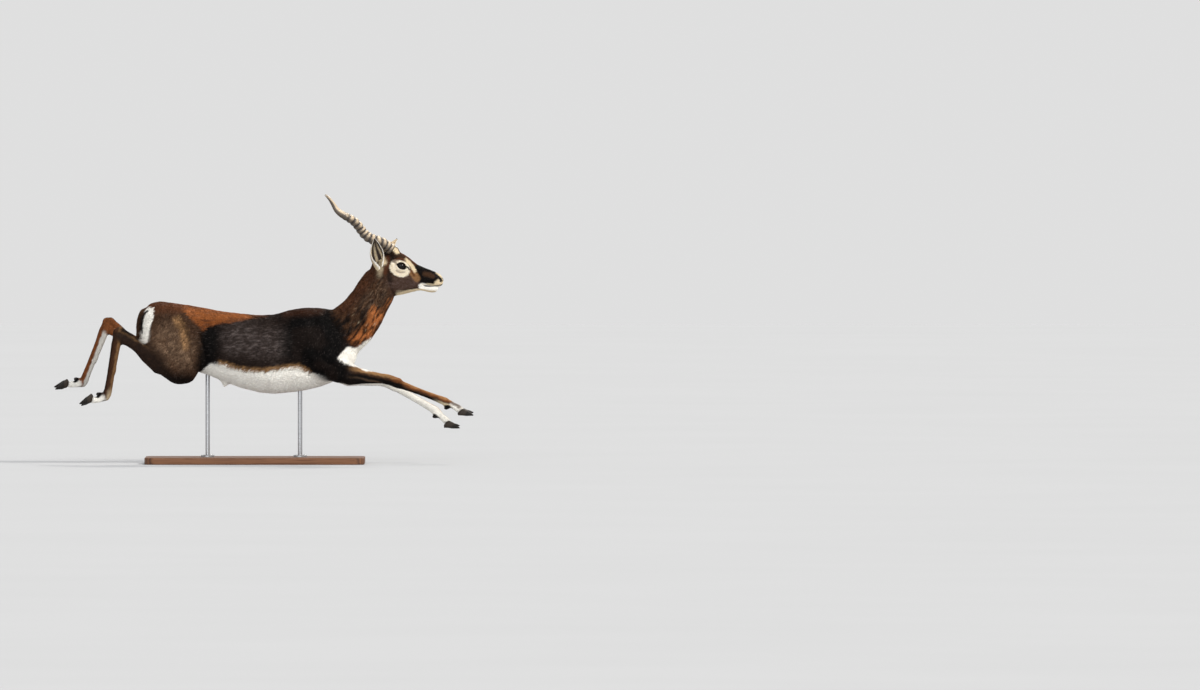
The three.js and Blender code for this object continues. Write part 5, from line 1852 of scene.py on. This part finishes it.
def add_coat(name, tufts, colors, pale_tip, chosen, line, slot):
    """One piece of coat from the chosen tufts, with its colours and its flat map."""
    root, n, s, mid, tip = (tufts[key][chosen] for key in ("root", "normal", "side", "middle", "tip"))
    w = tufts["width"][chosen][:, None]
    low = root - n * ROOT_DEPTH
    rings = [
        low - s * w * 0.4, low + s * w * 0.4, low + n * w * RIDGE,
        mid - s * w * 0.5, mid + s * w * 0.5, mid + n * w * RIDGE,
        tip,
    ]
    pale = ease(0.3, 0.7, colors[chosen].mean(axis=1))
    chance = np.exp(luck.normal(0, 0.13, len(chosen)) * (1 - 0.7 * pale))
    shade = mix(DARK_SHADES[None], LIGHT_SHADES[None], pale) * chance[:, None]
    color = colors[chosen][:, None] * shade[..., None]
    color = color + (pale_tip[chosen][:, None] * TIP_SHADES)[..., None] * GREY_HAIR
    faces = (np.arange(len(chosen))[:, None, None] * 7 + LOCK_FACES).reshape(-1, 3)
    coat = new_mesh(name, np.stack(rings, 1).reshape(-1, 3), faces)
    set_color(coat, np.clip(color, 0, 1).reshape(-1, 3))
    set_lie(coat, np.repeat(tufts["lie"][chosen], 7, axis=0))
    places = (unrolled(root, *line)[:, None] + PATCH * PATCH_SHAPE[None]).reshape(-1, 2)
    uv = coat.uv_layers.new(name="OFBake")
    uv.data.foreach_set("uv", floats(places[faces.ravel()]))
    add_piece(coat, coat_material, slot)
    return len(faces)


print("triangles of a tuft", len(LOCK_FACES))

# %% [markdown]
# The rims of the lids and the moist nose stay bare, hair by the eye is short, and hair at the feet
# hangs over the edge of the hooves. The hem of the dark coat over the belly is longer and hangs down.

# %% Tufts of the skin
EYE_AREA = 31 * MM
HOOF_REACH = 16 * MM
coat_material = hair_material("tufts_of_the_coat", 0.25)
sizes = skin_shares @ TUFT_TABLE
eye_places = np.stack(eye_axes(*skin_points.T), 1)
lid_gap = almond(eye_places[:, 0], eye_places[:, 1])
by_eye = np.linalg.norm(eye_places, axis=1) < EYE_AREA
lid_rim = by_eye & (lid_gap < LID_RIM[1])
near_eye = by_eye & (lid_gap < 10 * MM)
moist = nose_pad_of(skin_points, normals) - streak(skin_points, NOSTRIL_SHADE, 5.2, 0.2)
moist = np.maximum(moist, streak(skin_points, NOSTRIL_SHADE, 3.0, 0.3))
bare = lid_rim | (moist > 0.5)
sizes[:, 0] *= np.where(near_eye, 0.55, 1)
corners, weights = scatter(skin_points, triangles_of(skin), np.where(bare, 0, sizes[:, 3]))
roots = at_roots(skin_points, corners, weights)
root_normals = unit(at_roots(normals, corners, weights))
root_shares = at_roots(skin_shares, corners, weights)
root_colors = at_roots(skin_colors, corners, weights)
root_sizes = at_roots(sizes, corners, weights)
hem = roots[:, 2] - line_height(BELLY_LINE, roots[:, 0])
hem = ridge(hem, 4 * MM, 7 * MM) * between_x(roots, 214, 330, 6) * share(root_shares, "torso")
root_sizes[:, 0] *= 1 + 0.5 * hem
for limb in LIMBS:
    close = np.linalg.norm(roots[:, [0, 2]] - np.array(BONES[limb][4]), axis=1) < HOOF_REACH
    root_sizes[close] *= np.where(share(root_shares[close], limb) > 0.5, 1.5, 1.0)[:, None]
root_lie = lie_of(root_shares, root_normals) + hem[:, None] * 1.2 * np.array((0, 0, -1))
root_lie = unit(root_lie - root_normals * (root_lie * root_normals).sum(axis=1, keepdims=True))
tufts = grow(roots, root_normals, root_lie, root_sizes, skin_points, normals)
dark = ease(0.16, 0.05, root_colors.mean(axis=1))
grizzled = share(root_shares, "torso", "neck", "thigh", "shoulder", "head")
pale_tip = (luck.random(len(roots)) < 0.05) * dark * grizzled * 0.5
print(len(roots), "tufts")

# %% [markdown]
# Each piece of coat has its own flat map. A part of the body is unrolled like a label from a tin:
# across the map goes the angle round the part's own line, and up the map goes the way along it.
# Each tuft is a small patch at the place of its root.

# %% Pieces of coat
MOST_TUFTS = 19000
LIMB_SIDE = 0.07
# name, parts, and the start and end of the line that it is unrolled round
REGIONS = [
    ("trunk", ("torso",), ((-0.40, 0, 0.46), (0.27, 0, 0.42))),
    ("neck", ("neck",), ((0.30, 0, 0.44), (0.46, 0, 0.68))),
    ("head", ("head",), ((0.44, 0, 0.70), (0.68, 0, 0.64))),
    ("tail", ("tail",), ((-0.41, 0, 0.55), (-0.42, 0, 0.42))),
]
for limb in LIMBS:
    side = LIMB_SIDE * (-1 if limb.endswith("right") else 1)
    top, knee, foot = ((BONES[limb][k][0], side, BONES[limb][k][1]) for k in (0, 2, 4))
    names = [f"{limb}_{part}" for part in LIMB_PARTS[limb[:4]]]
    REGIONS.append((f"{limb}_upper", names[:2], (top, knee)))
    REGIONS.append((f"{limb}_lower", names[2:], (knee, foot)))
region_shares = [
    root_shares[:, [FLESH.index(node) for node in nodes]].sum(axis=1) for _, nodes, _ in REGIONS
]
region_of = np.argmax(region_shares, axis=0)
total = 0
for number, (name, nodes, line) in enumerate(REGIONS):
    inside = np.flatnonzero(region_of == number)
    inside = inside[np.argsort(roots[inside] @ (np.array(line[1]) - np.array(line[0])))]
    slices = max(1, math.ceil(len(inside) / MOST_TUFTS))
    for part, chosen in enumerate(np.array_split(inside, slices)):
        total += add_coat(f"coat_{name}_{part + 1}", tufts, root_colors, pale_tip, chosen, line, "coat")
print("coat triangles", total)

# %% [markdown]
# The ears wear the same coat, shorter. The two sides of the thin shell are done one after the other,
# so that the tufts of the inside are laid on the inside.

# %% Coat of the ears
for side_name, (ear, ear_color, inside) in ear_skins.items():
    ear_points, ear_normals, ear_faces = points_of(ear), normals_of(ear), triangles_of(ear)
    root, tip = (np.array(EARS[side_name][key]) for key in ("root", "tip"))
    for place, on_side in (("inside", inside), ("outside", ~inside)):
        faces = ear_faces[on_side[ear_faces].all(axis=1)]
        density = np.full(len(ear_points), float(EAR_TUFT[3]))
        corners, weights = scatter(ear_points, faces, density)
        n = unit(at_roots(ear_normals, corners, weights))
        lie = unit(tip - root) - n * (n @ unit(tip - root))[:, None]
        size = np.tile(EAR_TUFT, (len(n), 1))
        used = np.unique(faces)
        ear_roots = at_roots(ear_points, corners, weights)
        ear_tufts = grow(ear_roots, n, unit(lie), size, ear_points[used], ear_normals[used])
        colors = at_roots(ear_color, corners, weights)
        name = f"coat_ear_{side_name}_{place}"
        add_coat(name, ear_tufts, colors, np.zeros(len(n)), np.arange(len(n)), (root, tip), "ear_coat")
print("ear tufts", len(n), "on one side")

# %% [markdown]
# ## Stand
# The display stand is plain joinery: an oiled board, two turned steel collars with screws, and two
# brushed rods. The board is one outline stacked ring on ring, and its edges are eased by a quarter
# round, as a router would leave them.

# %% Stand
BOARD = tuple(size * MM for size in (780, 340, 24))
BOARD_CORNER = 40 * MM
BOARD_EASE = 3 * MM


def rounded_outline(long, wide, corner, steps=12):
    """A rectangle with round corners, as (x, y) pairs."""
    points = []
    for quarter in range(4):
        cx = (long / 2 - corner) * (1, -1, -1, 1)[quarter]
        cy = (wide / 2 - corner) * (1, 1, -1, -1)[quarter]
        for k in range(steps + 1):
            angle = math.pi / 2 * (quarter + k / steps)
            points.append((cx + corner * math.cos(angle), cy + corner * math.sin(angle)))
    return points


def stacked(name, outlines):
    """Closed outlines of equal length, one above the other, joined into a solid."""
    count = len(outlines[0])
    bm = bmesh.new()
    rings = [[bm.verts.new(point) for point in outline] for outline in outlines]
    for low, high in zip(rings, rings[1:]):
        for k in range(count):
            n = (k + 1) % count
            bm.faces.new((low[k], low[n], high[n], high[k]))
    bm.faces.new(rings[0][::-1])
    bm.faces.new(rings[-1])
    mesh = bpy.data.meshes.new(name)
    bm.to_mesh(mesh)
    bm.free()
    mesh.shade_smooth()
    return mesh


board_rings = []
long, wide, high = BOARD
for step in range(5):
    angle = math.pi / 2 * step / 4
    inset = BOARD_EASE * (1 - math.sin(angle))
    outline = rounded_outline(long - 2 * inset, wide - 2 * inset, BOARD_CORNER - inset)
    board_rings.append([(x, y, BOARD_EASE * (1 - math.cos(angle))) for x, y in outline])
board_rings += [[(x, y, high - z) for x, y, z in ring] for ring in reversed(board_rings)]
board = stacked("oiled_board", board_rings)
sharp = board.attributes.new("sharp_face", "BOOLEAN", "FACE")
for face in (len(board.polygons) - 1, len(board.polygons) - 2):
    sharp.data[face].value = True
print("board", [round(size / MM) for size in BOARD], "mm")

# %% [markdown]
# Walnut has wide rings and fine dark pores, so both textures are stretched along the board.

# %% Wood
board_material, tree, shader = new_material("oiled_walnut", Specular_IOR_Level=0.3)
place = add_node(tree, "TexCoord").outputs["Object"]
stretched = add_node(tree, "Mapping", {"Vector": place, "Scale": (1.0, 16.0, 16.0)}).outputs[0]
flow = noise_node(tree, Vector=stretched, Scale=2.2, Detail=5.0, Distortion=0.6)
waves = {"Vector": stretched, "Scale": 1.9, "Distortion": 5.0, "Detail": 3.0}
rings = add_node(tree, "TexWave", waves, bands_direction="Y")
pores = add_node(tree, "Mapping", {"Vector": place, "Scale": (14.0, 520.0, 520.0)}).outputs[0]
pore = noise_node(tree, Vector=pores, Scale=1.0, Detail=2.0)
grain = mix_colors(tree, 0.5, flow, rings.outputs["Fac"])
wood = ramp(tree, grain, (0.25, srgb(74, 47, 31)), (0.5, srgb(92, 60, 39)), (0.75, srgb(110, 73, 48)))
dark_pores = ramp(tree, pore, (0.34, (0.62, 0.58, 0.54)), (0.46, (1, 1, 1)))
color = mix_colors(tree, 1.0, wood, dark_pores, "MULTIPLY")
finish_shader(tree, shader, color, (pore, {"To Min": 0.72, "To Max": 0.5}), (pore, 0.25, 0.0005))
add_piece(board, board_material, "stand_board", "stand_board")
print("wood nodes", len(tree.nodes))

# %% [markdown]
# ## Steel parts
# Brushed steel shows fine scratches round the rod, so the noise is squeezed along its height.

# %% Steel
STEEL_SIDES = 64


def turned(profile, centre, sides=STEEL_SIDES):
    """Rings of points from (radius, height) pairs around an upright axis."""
    angles = np.linspace(0, 2 * math.pi, sides, endpoint=False)
    x, y = centre[0], centre[1]
    return [[(x + r * math.cos(a), y + r * math.sin(a), h) for a in angles] for r, h in profile]


steel_material, tree, shader = new_material("brushed_steel", Metallic=1.0)
place = add_node(tree, "TexCoord").outputs["Object"]
squeezed = add_node(tree, "Mapping", {"Vector": place, "Scale": (60.0, 60.0, 2600.0)}).outputs[0]
scratch = noise_node(tree, Vector=squeezed, Scale=1.0, Detail=3.0)
steel = ramp(tree, scratch, (0.3, srgb(150, 151, 153)), (0.7, srgb(196, 197, 199)))
finish_shader(tree, shader, steel, (scratch, {"To Min": 0.22, "To Max": 0.42}), (scratch, 0.15, 0.0003))
print("steel nodes", len(tree.nodes))

# %% [markdown]
# A turned part is a profile spun round an axis, as a lathe makes it. The rods run a little way into
# the coat. The collars have a chamfer and a small groove, and carry three screws each.

# %% Rods and collars
ROD_RADIUS = 8 * MM
ROD_CHAMFER = 1.2 * MM
ROD_SINKS = 5 * MM
COLLAR_RADIUS = 24 * MM
COLLAR_EDGE = 0.6 * MM
COLLAR_CHAMFER = 1.6 * MM
SCREW_CIRCLE = 16.5 * MM
for end in ("front", "rear"):
    low, high = (np.array(corner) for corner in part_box(f"stand_rod_{end}"))
    centre = (low + high) / 2
    top = high[2] + ROD_SINKS
    rod_profile = [
        (ROD_RADIUS - ROD_CHAMFER, low[2]), (ROD_RADIUS, low[2] + ROD_CHAMFER),
        (ROD_RADIUS, top - ROD_CHAMFER), (ROD_RADIUS - ROD_CHAMFER, top),
    ]
    rod = stacked(f"brushed_rod_{end}", turned(rod_profile, centre))
    add_piece(rod, steel_material, "stand_steel", f"stand_rod_{end}")
    low, high = (np.array(corner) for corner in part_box(f"stand_collar_{end}"))
    base, rise = low[2], high[2] - low[2]
    inner = ROD_RADIUS + 0.3 * MM
    collar_profile = [
        (inner, base),
        (COLLAR_RADIUS - COLLAR_EDGE, base),
        (COLLAR_RADIUS, base + COLLAR_EDGE),
        (COLLAR_RADIUS, base + rise - COLLAR_CHAMFER),
        (COLLAR_RADIUS - COLLAR_CHAMFER, base + rise),
        (inner + 2.4 * MM, base + rise),
        (inner + 1.8 * MM, base + rise - 0.8 * MM),
        (inner, base + rise - 0.8 * MM),
    ]
    bm = bmesh.new()
    bm.from_mesh(stacked("collar", turned(collar_profile, centre)))
    for number in range(3):
        angle = 2 * math.pi * number / 3 + 0.5
        at = (centre[0] + SCREW_CIRCLE * math.cos(angle), centre[1] + SCREW_CIRCLE * math.sin(angle))
        head = base + rise
        screw = [(2.9 * MM, head - 0.4 * MM), (2.9 * MM, head + 0.5 * MM), (2.3 * MM, head + 1.0 * MM),
                 (1.3 * MM, head + 1.1 * MM), (1.2 * MM, head + 0.3 * MM)]
        bm.from_mesh(stacked("screw", turned(screw, at, 24)))
    collar = bpy.data.meshes.new(f"turned_collar_{end}")
    bm.to_mesh(collar)
    bm.free()
    collar.shade_smooth()
    add_piece(collar, steel_material, "stand_steel", f"stand_collar_{end}")
for name in ("front", "rear"):
    for piece in (f"brushed_rod_{name}", f"turned_collar_{name}"):
        edges = bpy.data.objects[piece].modifiers.new("edges", "EDGE_SPLIT")
        edges.split_angle = math.radians(38)
print("rods", round(2 * ROD_RADIUS / MM), "mm thick")

# %% [markdown]
# ## Floor
# The floor is a plain matt plane. Its grey was worked out with the lamps, so that its far edge
# fades into the background.

# %% Floor
FLOOR_HALF = 30.0
corners = FLOOR_HALF * np.array([(-1, -1, 0), (1, -1, 0), (1, 1, 0), (-1, 1, 0)])
floor = bpy.data.objects.new("floor", new_mesh("floor", corners, np.array([[0, 1, 2, 3]])))
bpy.context.collection.objects.link(floor)
floor_material, tree, shader = new_material("matt_floor", Roughness=1.0, Specular_IOR_Level=0.0)
speckle = noise_node(tree, Scale=60.0, Detail=3.0)
tone = ramp(tree, speckle, (0.3, floor_grey * 0.99), (0.7, floor_grey * 1.01))
tree.links.new(tone, shader.inputs["Base Color"])
floor.data.materials.append(floor_material)
print("floor", 2 * FLOOR_HALF, "m wide")
